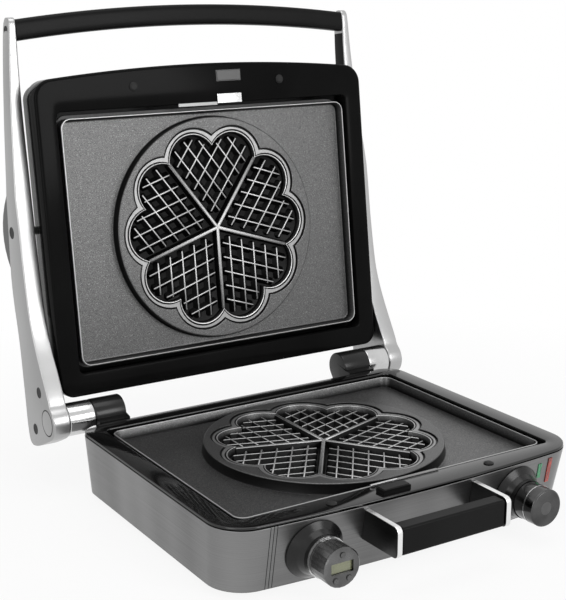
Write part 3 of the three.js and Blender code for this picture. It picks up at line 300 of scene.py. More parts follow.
def disc_line(radius, low, high, soft):
    """The profile of a plain disc between two distances along its axis, its edges softened."""
    return softened([(0, low), (radius, low), (radius, high), (0, high)], soft)


def rounded_edges(piece, width, segments):
    """Rounds the edges of a piece sharper than thirty degrees."""
    bevel = piece.modifiers.new("edges", "BEVEL")
    bevel.width = width
    bevel.segments = segments
    bevel.limit_method = "ANGLE"
    bevel.angle_limit = math.radians(30)
    bevel.harden_normals = True


# Outlines

CORNER_STEPS = 14
FRONT_STEPS = 28
SIDE_STEPS = 12
LEAST_RADIUS = 0.25


def outline(half_x, front, rear, front_radius, rear_radius, bow, inset):
    """A rectangle with round corners and a front that bows forward, as a closed loop in X and Y.

    y is lowered by bow times (1 - (x / half_x) squared) times the share of the way to the front."""
    right = half_x - inset
    low = front + inset
    high = rear - inset
    small = max(front_radius - inset, front_radius * LEAST_RADIUS)
    large = max(rear_radius - inset, rear_radius * LEAST_RADIUS)

    def corner(x, y, radius, start):
        """A quarter circle about (x, y) from a starting angle."""
        angle = start + np.linspace(0, np.pi / 2, CORNER_STEPS)
        return np.stack([x + radius * np.cos(angle), y + radius * np.sin(angle)], axis=1)

    arcs = [
        corner(right - large, high - large, large, 0),
        corner(large - right, high - large, large, np.pi / 2),
        corner(small - right, low + small, small, np.pi),
        corner(right - small, low + small, small, 3 * np.pi / 2),
    ]
    pieces = []
    for index, arc in enumerate(arcs):
        following = arcs[(index + 1) % 4]
        steps = FRONT_STEPS if index % 2 == 0 else SIDE_STEPS
        share = np.linspace(0, 1, steps + 2)[1:-1, None]
        pieces += [arc, arc[-1] * (1 - share) + following[0] * share]
    points = np.concatenate(pieces)
    across = 1 - (points[:, 0] / half_x) ** 2
    forward = (rear - points[:, 1]) / (rear - front)
    points[:, 1] -= bow * across * forward
    return points


def case_outline(inset, z=None):
    """The casing's outline, which leans in towards the foot; z is the height in metres."""
    lean = 0 if z is None else (CASE_TOP - z) / (CASE_TOP - CASE_BOTTOM)
    return outline(
        HALF_WIDTH - SIDE_DRAFT * lean,
        CASE_FRONT + FRONT_DRAFT * lean,
        CASE_REAR,
        FRONT_RADIUS,
        REAR_RADIUS,
        BOW,
        inset,
    )


def at_height(points, z):
    """Points of an outline in X and Y, all at one height."""
    return np.concatenate([points, np.full((len(points), 1), z)], axis=1)


def rectangle(half_x, centre_y, half_y, radius, grow):
    """A rectangle with round corners about (0, centre_y), grown by a distance all round."""
    return outline(half_x, centre_y - half_y, centre_y + half_y, radius, radius, 0, -grow)


# Materials


def set_inputs(tree, node, values):
    """Sets a node's inputs by name or number: an output is linked, and a value is written on the socket."""
    for key, value in values.items():
        if isinstance(value, bpy.types.NodeSocket):
            tree.links.new(value, node.inputs[key])
        else:
            node.inputs[key].default_value = value


def add_node(tree, kind, inputs=None, **settings):
    """A node with its settings by name, and its inputs from a dictionary."""
    node = tree.nodes.new(kind)
    for key, value in settings.items():
        setattr(node, key, value)
    set_inputs(tree, node, inputs or {})
    return node


def make_material(name, recipe, *values):
    """A node material: the recipe works in its tree and returns the values of the shader's inputs."""
    material = bpy.data.materials.new(name)
    material.use_nodes = True
    tree = material.node_tree
    set_inputs(tree, tree.nodes["Principled BSDF"], recipe(tree, *values))
    return material


def calculated(tree, operation, *values):
    """The result of a Math node on numbers or outputs."""
    return add_node(tree, "ShaderNodeMath", dict(enumerate(values)), operation=operation).outputs[0]


def object_place(tree):
    """Object coordinates."""
    return tree.nodes.new("ShaderNodeTexCoord").outputs["Object"]


def noise(tree, stretch, detail, rough=0.5):
    """Fractal noise from 0 to 1 on Object coordinates, stretched by one number or by three."""
    scale = stretch if isinstance(stretch, tuple) else (stretch, stretch, stretch)
    mapping = add_node(tree, "ShaderNodeMapping", {"Vector": object_place(tree), "Scale": scale})
    return add_node(tree, "ShaderNodeTexNoise", {
        "Vector": mapping.outputs["Vector"], "Scale": 1.0, "Detail": detail, "Roughness": rough,
    }).outputs["Fac"]


def rgba(colour):
    """A solid colour from its three parts, or a grey from one number."""
    return (*colour, 1) if isinstance(colour, tuple) else (colour, colour, colour, 1)


def ramp(tree, factor, *stops):
    """A colour ramp; stops are (position, colour) pairs."""
    node = add_node(tree, "ShaderNodeValToRGB", {"Fac": factor})
    elements = node.color_ramp.elements
    while len(elements) < len(stops):
        elements.new(0.5)
    for element, (position, colour) in zip(elements, stops):
        element.position = position
        element.color = rgba(colour)
    return node.outputs["Color"]


def spread(tree, factor, low, high):
    """Maps a factor of 0 to 1 onto low to high."""
    return add_node(tree, "ShaderNodeMapRange", {
        "Value": factor, "To Min": low, "To Max": high,
    }).outputs["Result"]


def relief(tree, height, strength, distance):
    """A normal in relief from a height between 0 and 1, its full depth a distance in metres."""
    return add_node(tree, "ShaderNodeBump", {
        "Height": height, "Strength": strength, "Distance": distance,
    }).outputs["Normal"]


def mixed(tree, factor, first, second, blend="MIX"):
    """Two colours mixed by a factor."""
    inputs = {0: factor, 6: first, 7: second}
    return add_node(tree, "ShaderNodeMix", inputs, data_type="RGBA", blend_type=blend).outputs[2]


def stored(tree, name):
    """A number stored on the piece's vertices under a name."""
    return add_node(tree, "ShaderNodeAttribute", attribute_name=name).outputs["Fac"]


SEAM_GREY = 0.03
SEAM_HALF = 0.35 * MM
SEAM_FRONT = CASE_FRONT + 25 * MM


def seam_line(tree, place):
    """1 within half a seam's width of a place across, on the front of the casing only, and else 0."""
    axes = add_node(tree, "ShaderNodeSeparateXYZ", {0: object_place(tree)})
    near = calculated(tree, "COMPARE", axes.outputs["X"], place, SEAM_HALF)
    front = calculated(tree, "LESS_THAN", axes.outputs["Y"], SEAM_FRONT)
    return calculated(tree, "MULTIPLY", near, front)


FINE_RELIEF = 0.0002
STROKE_SHARE = 0.45
CLOUD_SHARE = 0.55


def brushed_metal(tree, light, dark, rough, grain, bands=9, marked=None, seams=()):
    """Metal brushed one way: noise stretched along the strokes drives colour, gloss and relief.

    bands is a scale of slow changes laid over it, marked an attribute and the grey of what it marks, and
    seams the places across of dark upright joints in the front."""
    strokes = noise(tree, grain, 4.0, 0.6)
    cloud = spread(tree, noise(tree, bands, 1.0), 0.0, CLOUD_SHARE)
    both = calculated(tree, "MULTIPLY_ADD", strokes, STROKE_SHARE, cloud)
    colour = ramp(tree, both, (0.32, dark), (0.68, light))
    if marked:
        colour = mixed(tree, stored(tree, marked[0]), colour, rgba(marked[1]))
    for place in seams:
        colour = mixed(tree, seam_line(tree, place), colour, rgba(SEAM_GREY))
    return {
        "Base Color": colour,
        "Roughness": spread(tree, strokes, rough - 0.05, rough + 0.08),
        "Metallic": 1.0,
        "Normal": relief(tree, strokes, 0.06, FINE_RELIEF),
    }


def plastic(tree, colour, paler, rough, grain, depth, shine=0.5):
    """Moulded plastic: a fine grain in relief and slow changes of gloss, with faint wear in the colour."""
    slow = noise(tree, 14, 2.0)
    return {
        "Base Color": ramp(tree, slow, (0.3, colour), (0.75, paler)),
        "Roughness": spread(tree, slow, rough * 0.8, rough * 1.25),
        "Specular IOR Level": shine,
        "Normal": relief(tree, noise(tree, grain, 3.0), depth, FINE_RELIEF),
    }


COAT_DARK = 0.052
COAT_MID = 0.128
COAT_LIGHT = 0.39
# Greys of the painted shade and the painted highlights laid on the coating
COAT_SHADE = 0.008
COAT_HIGHLIGHT = 0.6
COAT_METAL = 0.9


def coated_metal(tree):
    """Non-stick coating on cast metal: dense fine specks, a dull sheen and slightly paler patches of wear.

    The stored painted shade darkens it down in the mould and beside walls, and the stored painted highlights
    brighten edges and crests."""
    specks = noise(tree, 1500, 2.0, 0.7)
    grains = noise(tree, 420, 3.0, 0.6)
    base = ramp(tree, specks, (0.3, COAT_DARK), (0.55, COAT_MID), (0.8, COAT_LIGHT))
    patches = ramp(tree, noise(tree, 11, 3.0), (0.3, 0.88), (0.8, 1.0))
    colour = mixed(tree, 1.0, base, patches, "MULTIPLY")
    # Painted shade in the pockets, the step's groove and the walls of disc and rim
    colour = mixed(tree, stored(tree, "sunk"), colour, rgba(COAT_SHADE))
    # Painted highlights on the crests, the lip, the ledge and the rim top
    colour = mixed(tree, stored(tree, "worn"), colour, rgba(COAT_HIGHLIGHT))
    return {
        "Base Color": colour,
        "Roughness": spread(tree, grains, 0.36, 0.5),
        "Metallic": COAT_METAL,
        "Normal": relief(tree, grains, 0.3, 0.0003),
    }


def turned_metal(tree, light, dark, rough, across):
    """Metal turned on a lathe: fine rings about the axis of a control at a place across."""
    centred = add_node(tree, "ShaderNodeMapping", {
        "Vector": object_place(tree), "Location": (-across, 0, -CONTROL_Z),
    })
    upright = add_node(tree, "ShaderNodeMapping", {
        "Vector": centred.outputs["Vector"], "Rotation": (math.pi / 2, 0, 0),
    })
    rings = add_node(tree, "ShaderNodeTexWave", {
        "Vector": upright.outputs["Vector"], "Scale": 700.0, "Distortion": 1.5, "Detail": 2.0,
    }, wave_type="RINGS", rings_direction="Z").outputs["Fac"]
    return {
        "Base Color": ramp(tree, noise(tree, 60, 2.0), (0.3, dark), (0.7, light)),
        "Roughness": spread(tree, rings, rough - 0.05, rough + 0.06),
        "Metallic": 1.0,
        "Normal": relief(tree, rings, 0.05, 0.0001),
    }


def lens(tree, deep, bright, glow):
    """A coloured lens, lit from behind, with a fine cell pattern under a glossy coat."""
    cells = noise(tree, (500, 500, 120), 2.0)
    colour = ramp(tree, cells, (0.35, deep), (0.65, bright))
    return {
        "Base Color": colour,
        "Emission Color": colour,
        "Emission Strength": glow,
        "Roughness": spread(tree, cells, 0.1, 0.2),
        "Coat Weight": 0.6,
    }


def display(tree, deep, bright):
    """The timer's window: a pale olive crystal display under clear gloss, its segments left blank."""
    cells = noise(tree, 900, 2.0)
    return {
        "Base Color": ramp(tree, cells, (0.3, deep), (0.7, bright)),
        "Roughness": spread(tree, cells, 0.12, 0.2),
        "Coat Weight": 0.8,
    }


# Rows of a name and what its recipe takes after the tree

CASE_SEAMS = (-0.1455, -0.1425, -0.1395)
FINISHES = (
    (brushed_metal, (
        # The casing's slow bands are stretched upright: painted reflection, soft upright bands of light and
        # dark on the steel
        ("casing_steel", 0.25, 0.115, 0.33, (6, 6, 1800), (16, 16, 3), None, CASE_SEAMS),
        # The lid cover's inside is painted near black as painted shade, and so are its sides below a height
        ("lid_steel", 0.40, 0.28, 0.33, (6, 2200, 2200), 9, ("inside", 0.02)),
        # The arm's and bracket's narrow faces take a lighter grey than their sides: painted light on those
        # faces and painted shade on the sides, darkest on the brackets
        ("arm_metal", 0.37, 0.29, 0.30, (1500, 1500, 9), 9, ("narrow", 0.42)),
        ("bracket_metal", 0.06, 0.035, 0.3, (1500, 20, 1500), 9, ("narrow", 0.8)),
        ("chrome", 0.66, 0.5, 0.14, 60),
        ("dull_steel", 0.30, 0.20, 0.4, 800),
        ("reflector_sheet", 0.10, 0.05, 0.5, (900, 9, 9)),
    )),
    (plastic, (
        ("gloss_black", 0.004, 0.007, 0.09, 160, 0.012),
        ("lid_black", 0.004, 0.007, 0.13, 160, 0.012, 0.035),
        ("tower_black", 0.006, 0.011, 0.24, 1400, 0.05, 0.3),
        ("satin_black", 0.004, 0.008, 0.36, 1400, 0.10, 0.09),
        ("pan_black", 0.015, 0.024, 0.5, 900, 0.2),
        ("soft_grey", 0.075, 0.10, 0.4, 1200, 0.12),
        ("pad_grey", 0.03, 0.045, 0.35, 1200, 0.1),
        ("rubber", 0.006, 0.014, 0.55, 700, 0.25, 0.25),
    )),
    (coated_metal, (("coated_plate",),)),
    (turned_metal, (
        ("gunmetal_turned", 0.10, 0.06, 0.2, DIAL_X),
        ("gunmetal_timer", 0.15, 0.10, 0.22, TIMER_X),
        ("knob_face_metal", 0.13, 0.10, 0.33, DIAL_X),
        ("timer_face_metal", 0.17, 0.09, 0.24, TIMER_X),
    )),
    (lens, (
        ("green_lens", (0.0, 0.10, 0.04), (0.03, 0.36, 0.13), 0.12),
        ("red_lens", (0.16, 0.006, 0.0), (0.42, 0.03, 0.01), 0.1),
    )),
    (display, (("display_glass", (0.17, 0.18, 0.10), (0.24, 0.25, 0.15)),)),
)
MATERIALS = {row[0]: make_material(row[0], recipe, *row[1:]) for recipe, rows in FINISHES for row in rows}


def dress(piece, material, body, slot, *nodes):
    """Gives a piece its material and its body, and hides the solids that it stands for. Its slot is not used.
    """
    piece.data.materials.clear()
    piece.data.materials.append(MATERIALS[material])
    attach(piece, body)
    if nodes:
        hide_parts(*nodes)
    return piece


def stood_for(solid, word):
    """The solid on one side that a piece stands for, if it stands for any."""
    return [f"{solid}_{word}"] if solid else []


def repaint(material, *nodes):
    """Gives solids of the frame a material."""
    for node in nodes:
        mesh = frame["nodes"][node].data
        mesh.materials.clear()
        mesh.materials.append(MATERIALS[material])


# Casing and deck

CASE_ROWS = 7
CASE_EDGE = 0.4 * MM

def make_casing():
    """The steel wrap: loops of the leaning outline up the outside, over the edge and down the inside."""
    heights = np.linspace(CASE_BOTTOM, CASE_TOP, CASE_ROWS)
    edge = CASE_EDGE
    loops = [at_height(case_outline(edge, CASE_BOTTOM), CASE_BOTTOM)]
    loops += [at_height(case_outline(0, z), z) for z in [heights[0] + edge, *heights[1:-1], CASE_TOP - edge]]
    loops += [at_height(case_outline(edge, CASE_TOP), CASE_TOP)]
    loops += [at_height(case_outline(STEEL - edge, CASE_TOP), CASE_TOP)]
    loops += [at_height(case_outline(STEEL, z), z) for z in (CASE_TOP - edge, CASE_BOTTOM + edge)]
    return loops_mesh("casing", loops, ring=True)


DECK_EDGE = 0.4 * MM
DECK_SLAB = 2 * MM
OPENING_HALF_X = PLATE_HALF_X + 4 * MM
OPENING_HALF_Y = PLATE_HALF_Y + 4 * MM
OPENING_RADIUS = 6 * MM
SKIRT = 2 * MM
SKIRT_DEPTH = 15 * MM


def frame_loops(*groups):
    """Loops of outlines: after each outline come its rows of how far it is drawn in or grown, and height."""
    return np.array([at_height(line(offset), height) for line, *rows in groups for offset, height in rows])


def deck_opening(grow):
    """The deck's opening for its plate, grown by a distance."""
    return rectangle(OPENING_HALF_X, PLATE_CENTRE, OPENING_HALF_Y, OPENING_RADIUS, grow)


def make_deck():
    """The deck frame: loops round its edge from below, over the top and down the skirt of the opening."""
    top = DECK_TOP
    loops = frame_loops(
        (case_outline,
         (3 * MM, top - DECK_SLAB),
         (DECK_EDGE + 0.2 * MM, top - DECK_SLAB),
         (DECK_EDGE, top - DECK_SLAB + 0.2 * MM),
         (DECK_EDGE, top - 1.0 * MM),
         (DECK_EDGE + 0.13 * MM, top - 0.5 * MM),
         (DECK_EDGE + 0.5 * MM, top - 0.13 * MM),
         (DECK_EDGE + 1.0 * MM, top)),
        (deck_opening,
         (1.0 * MM, top),
         (0.5 * MM, top - 0.13 * MM),
         (0.13 * MM, top - 0.5 * MM),
         (0, top - 1.0 * MM),
         (0, top - SKIRT_DEPTH),
         (SKIRT, top - SKIRT_DEPTH),
         (SKIRT, top - DECK_SLAB)),
    )
    return loops_mesh("deck", loops, ring=True)


dress(make_casing(), "casing_steel", "base", "brushed_steel", "steel_wrap")
dress(make_deck(), "gloss_black", "base", "gloss_black", "deck_frame")

# Plates with the mould of hearts

HEARTS = 5
DISC_RADIUS = 111.5 * MM
MOULD_DEPTH = 8.5 * MM
STEP_DEPTH = 1.3 * MM
RIM_WALL = 2.4 * MM
WELL_DEPTH = 10 * MM
PLATE_HEIGHT = 13.5 * MM
PLATE_RADIUS = 10 * MM
DISC_DROP = 0.3 * MM
TIP = 98.7 * MM
NOTCH = 83 * MM
STEP_TIP = 105.4 * MM
STEP_NOTCH = 94 * MM
STEP_GROOVE = 1.9 * MM
LIP_WIDTH = 1.0 * MM
LIP_GROOVE = 1.9 * MM
GROOVE_SIDE = 0.1 * MM
GROOVE_DEPTH = 0.4 * MM
# Strength of the painted highlight on the ledge between lip and step
LEDGE_HIGHLIGHT = 0.4
SPOKE_WIDTH = 2.6 * MM
SPOKE_FOOT = 7 * MM
SPOKE_DROP = 2 * MM
RIDGE_PITCH = 14.6 * MM
RIDGE_WIDTH = 1.1 * MM
RIDGE_FOOT = 9 * MM
RIDGE_DROP = 4.0 * MM
RIDGE_START = 5 * MM
RIDGE_GAP = 4.5 * MM
RIDGES = 6
AROUND = 900


def lobed(angle, tip, notch):
    """Radius of ten round lobes at an angle from the front: a circle through the notches and the tip.

    With the lobe's centre at c from the middle and its radius q, r = c cos d + sqrt(q^2 - (c sin d)^2)."""
    step = np.pi / HEARTS
    centre = (tip ** 2 - notch ** 2) / (2 * (tip - notch * np.cos(step / 2)))
    own = tip - centre
    off = np.mod(angle, step) - step / 2
    return centre * np.cos(off) + np.sqrt(np.maximum(own ** 2 - (centre * np.sin(off)) ** 2, 0))


def box_radius(angle, half_x, half_y, radius):
    """Distance from the middle to a rectangle with round corners, at an angle from the front.

    It is the nearer of the two sides, or the corner's circle where the ray meets its quarter."""
    x = np.abs(np.sin(angle))
    y = np.abs(np.cos(angle))
    straight = np.minimum(half_x / np.maximum(x, TINY), half_y / np.maximum(y, TINY))
    cx = half_x - radius
    cy = half_y - radius
    along = x * cx + y * cy
    inside = along ** 2 - (cx ** 2 + cy ** 2 - radius ** 2)
    round_part = along + np.sqrt(np.maximum(inside, 0))
    in_corner = (straight * x > cx) & (straight * y > cy)
    return np.where(in_corner, round_part, straight)


def plate_surface(place):
    """The plate as loops about its middle, from the mould's floor up, over and round to the underside.

    Each loop is a radius for every angle and a height; place turns x, y, height into world points."""
    angle = np.linspace(0, 2 * np.pi, AROUND, endpoint=False)
    top = -DISC_DROP
    floor = top - MOULD_DEPTH
    half_x = PLATE_HALF_X
    half_y = PLATE_HALF_Y
    inner = lobed(angle, TIP, NOTCH)
    step = lobed(angle, STEP_TIP, STEP_NOTCH)
    ledge = top - STEP_DEPTH

    def rim(inset):
        """The plate's rim drawn in by an inset, as a radius for every angle."""
        return box_radius(angle, half_x - inset, half_y - inset, max(PLATE_RADIUS - inset, 2 * MM))

    rows = [
        (inner * 0.45, floor),
        (inner - 2.2 * MM, floor),
        (inner - 1.2 * MM, floor + 0.3 * MM),
        (inner - 0.7 * MM, floor + 1.1 * MM),
        (inner, ledge - 0.5 * MM),
        (inner + 0.15 * MM, ledge - 0.15 * MM),
        (inner + 0.5 * MM, ledge),
        (inner + LIP_WIDTH, ledge),
        (inner + LIP_WIDTH + GROOVE_SIDE, ledge - GROOVE_DEPTH),
        (inner + LIP_WIDTH + LIP_GROOVE - GROOVE_SIDE, ledge - GROOVE_DEPTH),
        (inner + LIP_WIDTH + LIP_GROOVE, ledge),
        (inner + LIP_WIDTH + LIP_GROOVE + 0.4 * MM, ledge),
        (step - STEP_GROOVE - 0.4 * MM, ledge),
        (step - STEP_GROOVE, ledge),
        (step - STEP_GROOVE + GROOVE_SIDE, ledge - GROOVE_DEPTH),
        (step, ledge - GROOVE_DEPTH),
        (step + 0.1 * MM, top - 0.4 * MM),
        (step + 0.25 * MM, top - 0.12 * MM),
        (step + 0.6 * MM, top),
        (step + 1.0 * MM, top),
        (DISC_RADIUS - 1.7 * MM, top),
        (DISC_RADIUS - 1.2 * MM, top),
        (DISC_RADIUS - 0.5 * MM, top - 0.2 * MM),
        (DISC_RADIUS, top - 0.8 * MM),
        (DISC_RADIUS + 0.6 * MM, -WELL_DEPTH + 1.2 * MM),
        (DISC_RADIUS + 1.0 * MM, -WELL_DEPTH + 0.4 * MM),
        (DISC_RADIUS + 1.9 * MM, -WELL_DEPTH),
        (DISC_RADIUS + 2.4 * MM, -WELL_DEPTH),
        (np.maximum(rim(RIM_WALL + 1.8 * MM), DISC_RADIUS + 2.7 * MM), -WELL_DEPTH),
        (np.maximum(rim(RIM_WALL + 1.3 * MM), DISC_RADIUS + 3.0 * MM), -WELL_DEPTH),
        (rim(RIM_WALL + 0.3 * MM), -WELL_DEPTH + 0.35 * MM),
        (rim(RIM_WALL), -WELL_DEPTH + 1.2 * MM),
        (rim(RIM_WALL - 1.0 * MM), -0.5 * MM),
        (rim(RIM_WALL - 1.4 * MM), 0),
        (rim(0.5 * MM), 0),
        (rim(0), -0.5 * MM),
        (rim(0), -WELL_DEPTH),
        (rim(2.2 * MM), -PLATE_HEIGHT + 0.3 * MM),
        (rim(2.8 * MM), -PLATE_HEIGHT),
    ]
    radius = np.array([np.broadcast_to(row[0], AROUND) for row in rows])
    height = np.broadcast_to(np.array([row[1] for row in rows])[:, None], radius.shape)
    return place(np.stack([radius * np.sin(angle), -radius * np.cos(angle), height], axis=2))


def ridge_loops(start, end, foot, crest, low, high, place):
    """A straight ridge with sloping flanks and ends: section loops carried from start to end.

    Each section is a closed line of (across, height), from the foot's width at the bottom to the crest's
    at the top. Towards the ends both the section and its height shrink."""
    start = np.array(start, float)
    end = np.array(end, float)
    along = (end - start) / np.linalg.norm(end - start)
    side = np.array([-along[1], along[0]])
    section = np.array([
        (foot / 2, low), (crest / 2 + 0.4 * MM, high - 0.8 * MM), (crest / 2 + 0.2 * MM, high - 0.4 * MM),
        (crest / 2, high - 0.12 * MM), (crest / 4, high), (-crest / 4, high), (-crest / 2, high - 0.12 * MM),
        (-crest / 2 - 0.2 * MM, high - 0.4 * MM), (-crest / 2 - 0.4 * MM, high - 0.8 * MM), (-foot / 2, low),
    ])
    stations = ((0.4, 0.3, 0), (0.75, 0.85, 0.7 * MM), (1, 1, 1.5 * MM))
    loops = [(wide, tall, start + along * inset) for wide, tall, inset in stations]
    loops += [(wide, tall, end - along * inset) for wide, tall, inset in stations[::-1]]
    rings = []
    for wide, tall, middle in loops:
        across = section[:, 0] * wide
        height = low + (section[:, 1] - low) * tall
        flat = middle + across[:, None] * side
        rings.append(place(np.concatenate([flat, height[:, None]], axis=1)))
    return np.array(rings)


def heading(angle):
    """The direction across and ahead at an angle from the front."""
    return np.array([np.sin(angle), -np.cos(angle)])


def mould_ridges(name, place):
    """The five spokes between the hearts, and in each heart two sets of thin ridges beside its spokes.

    A thin ridge runs beside one spoke, at a whole number of pitches from it, and stops short of the lobes."""
    top = -DISC_DROP
    floor = top - MOULD_DEPTH
    pieces = []
    spoke_angle = 2 * np.pi / HEARTS
    for heart in range(HEARTS):
        middle = heart * spoke_angle
        to_notch = heading(middle + spoke_angle / 2)
        rings = ridge_loops(to_notch * -1.0 * MM, to_notch * (NOTCH + 1.5 * MM), SPOKE_FOOT, SPOKE_WIDTH,
                            floor - GAP, top - SPOKE_DROP, place)
        pieces.append(loops_mesh("spoke", rings))
        for sign in (-1, 1):
            along = heading(middle + sign * spoke_angle / 2)
            across = heading(middle - sign * spoke_angle / 2)
            for line in range(1, RIDGES):
                base = across * line * RIDGE_PITCH
                reach = np.linspace(RIDGE_START, TIP * 1.2, 400)
                points = base + reach[:, None] * along
                angle = np.arctan2(points[:, 0], -points[:, 1])
                radius = np.linalg.norm(points, axis=1)
                free = radius < lobed(angle, TIP, NOTCH) - RIDGE_GAP
                if not free[0]:
                    continue
                stop = reach[np.argmin(free)] if not free.all() else reach[-1]
                if stop - RIDGE_START < 4 * MM:
                    continue
                rings = ridge_loops(base + along * RIDGE_START, base + along * stop, RIDGE_FOOT, RIDGE_WIDTH,
                                    floor - GAP, top - RIDGE_DROP, place)
                pieces.append(loops_mesh("ridge", rings))
    return join_pieces(name, pieces, 50)


LID_REAR = 18.5 * MM
LID_PLATE = LID_REAR + 147 * MM
LID_FACE = DECK_TOP + 5 * MM - AXIS_Z
LID_PLATE_RIM = LID_FACE + 1.5 * MM


def on_base(points):
    """From the plate's own frame to the base: its middle in the opening's, its rim at the rim height."""
    return points + np.array([0, PLATE_CENTRE, PLATE_RIM])


def on_lid(points):
    """From the plate's own frame to the open lid: turned over about Y, then opened with the lid."""
    turned_over = points * np.array([-1, 1, -1]) + np.array([0, -LID_PLATE, LID_PLATE_RIM])
    return open_up(turned_over)


def within(values, low, high, soft):
    """1 between two bounds, falling to 0 over a soft distance beyond each."""
    return np.clip(np.minimum(values - low, high - values) / soft + 1, 0, 1)


def mark_mould(piece, place):
    """Marks for each vertex of a plate or its ridges how much painted shade and how much painted highlight it
    takes, each 0 to 1.

    Painted shade lies on the pockets below the ridges' crests, the groove along the step and the walls of
    disc and rim.
    Painted highlights lie on the crests of the ridges, the lip round the lobes, the top of the plate's rim
    and the ledge's band."""
    middle, right, ahead, above = place(np.array([[0, 0, 0], [1.0, 0, 0], [0, 1.0, 0], [0, 0, 1.0]]))
    away = vertex_rows(piece, "co") - middle
    x = away @ (right - middle)
    y = away @ (ahead - middle)
    height = away @ (above - middle)
    radius = np.hypot(x, y)
    angle = np.arctan2(x, -y)
    lobes = lobed(angle, TIP, NOTCH)
    step = lobed(angle, STEP_TIP, STEP_NOTCH)
    ledge = -DISC_DROP - STEP_DEPTH
    crest = -DISC_DROP - RIDGE_DROP
    in_mould = radius < lobes + 0.05 * MM
    spokes = -DISC_DROP - SPOKE_DROP
    top = -DISC_DROP
    below = (height < ledge - 0.2 * MM) | (radius > step - 0.05 * MM)
    pocket = np.clip((spokes - 0.5 * MM - height) / (0.2 * MM), 0, 1) * in_mould
    groove = (radius > lobes + LIP_WIDTH) * (radius < step + 0.15 * MM) * (height < top - 0.3 * MM) * below
    disc_wall = within(radius, DISC_RADIUS - 0.1 * MM, DISC_RADIUS + 1.5 * MM, 0.3 * MM)
    rim_wall = (radius > DISC_RADIUS + 2 * MM) * within(height, -WELL_DEPTH + 0.3 * MM, -0.8 * MM, 0.2 * MM)
    # Painted shade: the pockets, the step's groove and the walls of disc and rim are darkened
    mark(piece, "sunk", np.max([pocket, groove, disc_wall, rim_wall], axis=0))
    # Painted highlights: the lip, the crests, the rim top and the ledge's band are lightened
    lip = within(radius - lobes, 0.1 * MM, LIP_WIDTH, 0.05 * MM) * (height > ledge - 0.2 * MM)
    on_spoke = height > spokes - 0.45 * MM
    crests = (radius < lobes - 2 * MM) * (on_spoke | (np.abs(height - crest) < 0.15 * MM))
    rim_top = (radius > DISC_RADIUS + 2 * MM) * (height > -0.1 * MM)
    band = (radius > lobes + LIP_WIDTH + LIP_GROOVE - 0.1 * MM) * (radius < step - STEP_GROOVE + 0.05 * MM)
    band = band * (np.abs(height - ledge) < 0.1 * MM)
    mark(piece, "worn", np.max([lip * 0.9, crests * 0.8, rim_top * 0.7, band * LEDGE_HIGHLIGHT], axis=0))


for word, place, body in (("lower", on_base, "base"), ("upper", on_lid, "lid")):
    plate = loops_mesh(f"{word}_baking_plate", plate_surface(place), sharp_degrees=35)
    mark_mould(plate, place)
    dress(plate, "coated_plate", body, "coated_plate", f"{word}_plate")
    ridges = mould_ridges(f"{word}_mould_ridges", place)
    mark_mould(ridges, place)
    dress(ridges, "coated_plate", body, "coated_plate")

# Lid frame and shell

LID_DEPTH = 302 * MM
LID_FRONT_RADIUS = 17 * MM
LID_REAR_RADIUS = 14 * MM
LID_FRAME_HEIGHT = 24 * MM
LID_FRAME_WALL = 2.2 * MM
LID_OPENING_HALF_Y = PLATE_HALF_Y + 6.5 * MM
SHELL_INSET = 3 * MM
SHELL_HEIGHT = 29.4 * MM
SHELL_CROWN = 30 * MM
CROWN_ROWS = 10
SHELL_WALL = 1 * MM
SHELL_DARK_SHARE = 0.66


def lid_outline(inset):
    """The lid's outline about the hinge, drawn in by an inset."""
    front = -LID_REAR - LID_DEPTH
    return outline(HALF_WIDTH, front, -LID_REAR, LID_FRONT_RADIUS, LID_REAR_RADIUS, BOW, inset)


def lid_opening(grow):
    """The lid's opening for its plate, grown by a distance."""
    return rectangle(OPENING_HALF_X, -LID_PLATE, LID_OPENING_HALF_Y, OPENING_RADIUS, grow)


def make_lid_frame():
    """The lid's black frame: loops down its opening, across its face, round its edge and back inside."""
    face = LID_FACE
    back = LID_FACE + LID_FRAME_HEIGHT
    depth = LID_PLATE_RIM + PLATE_HEIGHT
    loops = frame_loops(
        (lid_opening,
         (SKIRT, depth),
         (0, depth),
         (0, face + 1.2 * MM),
         (0.15 * MM, face + 0.6 * MM),
         (0.6 * MM, face + 0.15 * MM),
         (1.2 * MM, face)),
        (lid_outline,
         (3.0 * MM, face),
         (1.4 * MM, face + 0.35 * MM),
         (0.35 * MM, face + 1.4 * MM),
         (0, face + 3.0 * MM),
         (0, back - 0.8 * MM),
         (0.25 * MM, back - 0.2 * MM),
         (0.8 * MM, back),
         (LID_FRAME_WALL, back),
         (LID_FRAME_WALL, face + 2.5 * MM)),
        (lid_opening,
         (SKIRT, face + 2.5 * MM)),
    )
    return loops_mesh("lid_frame_moulding", open_up(loops), ring=True)


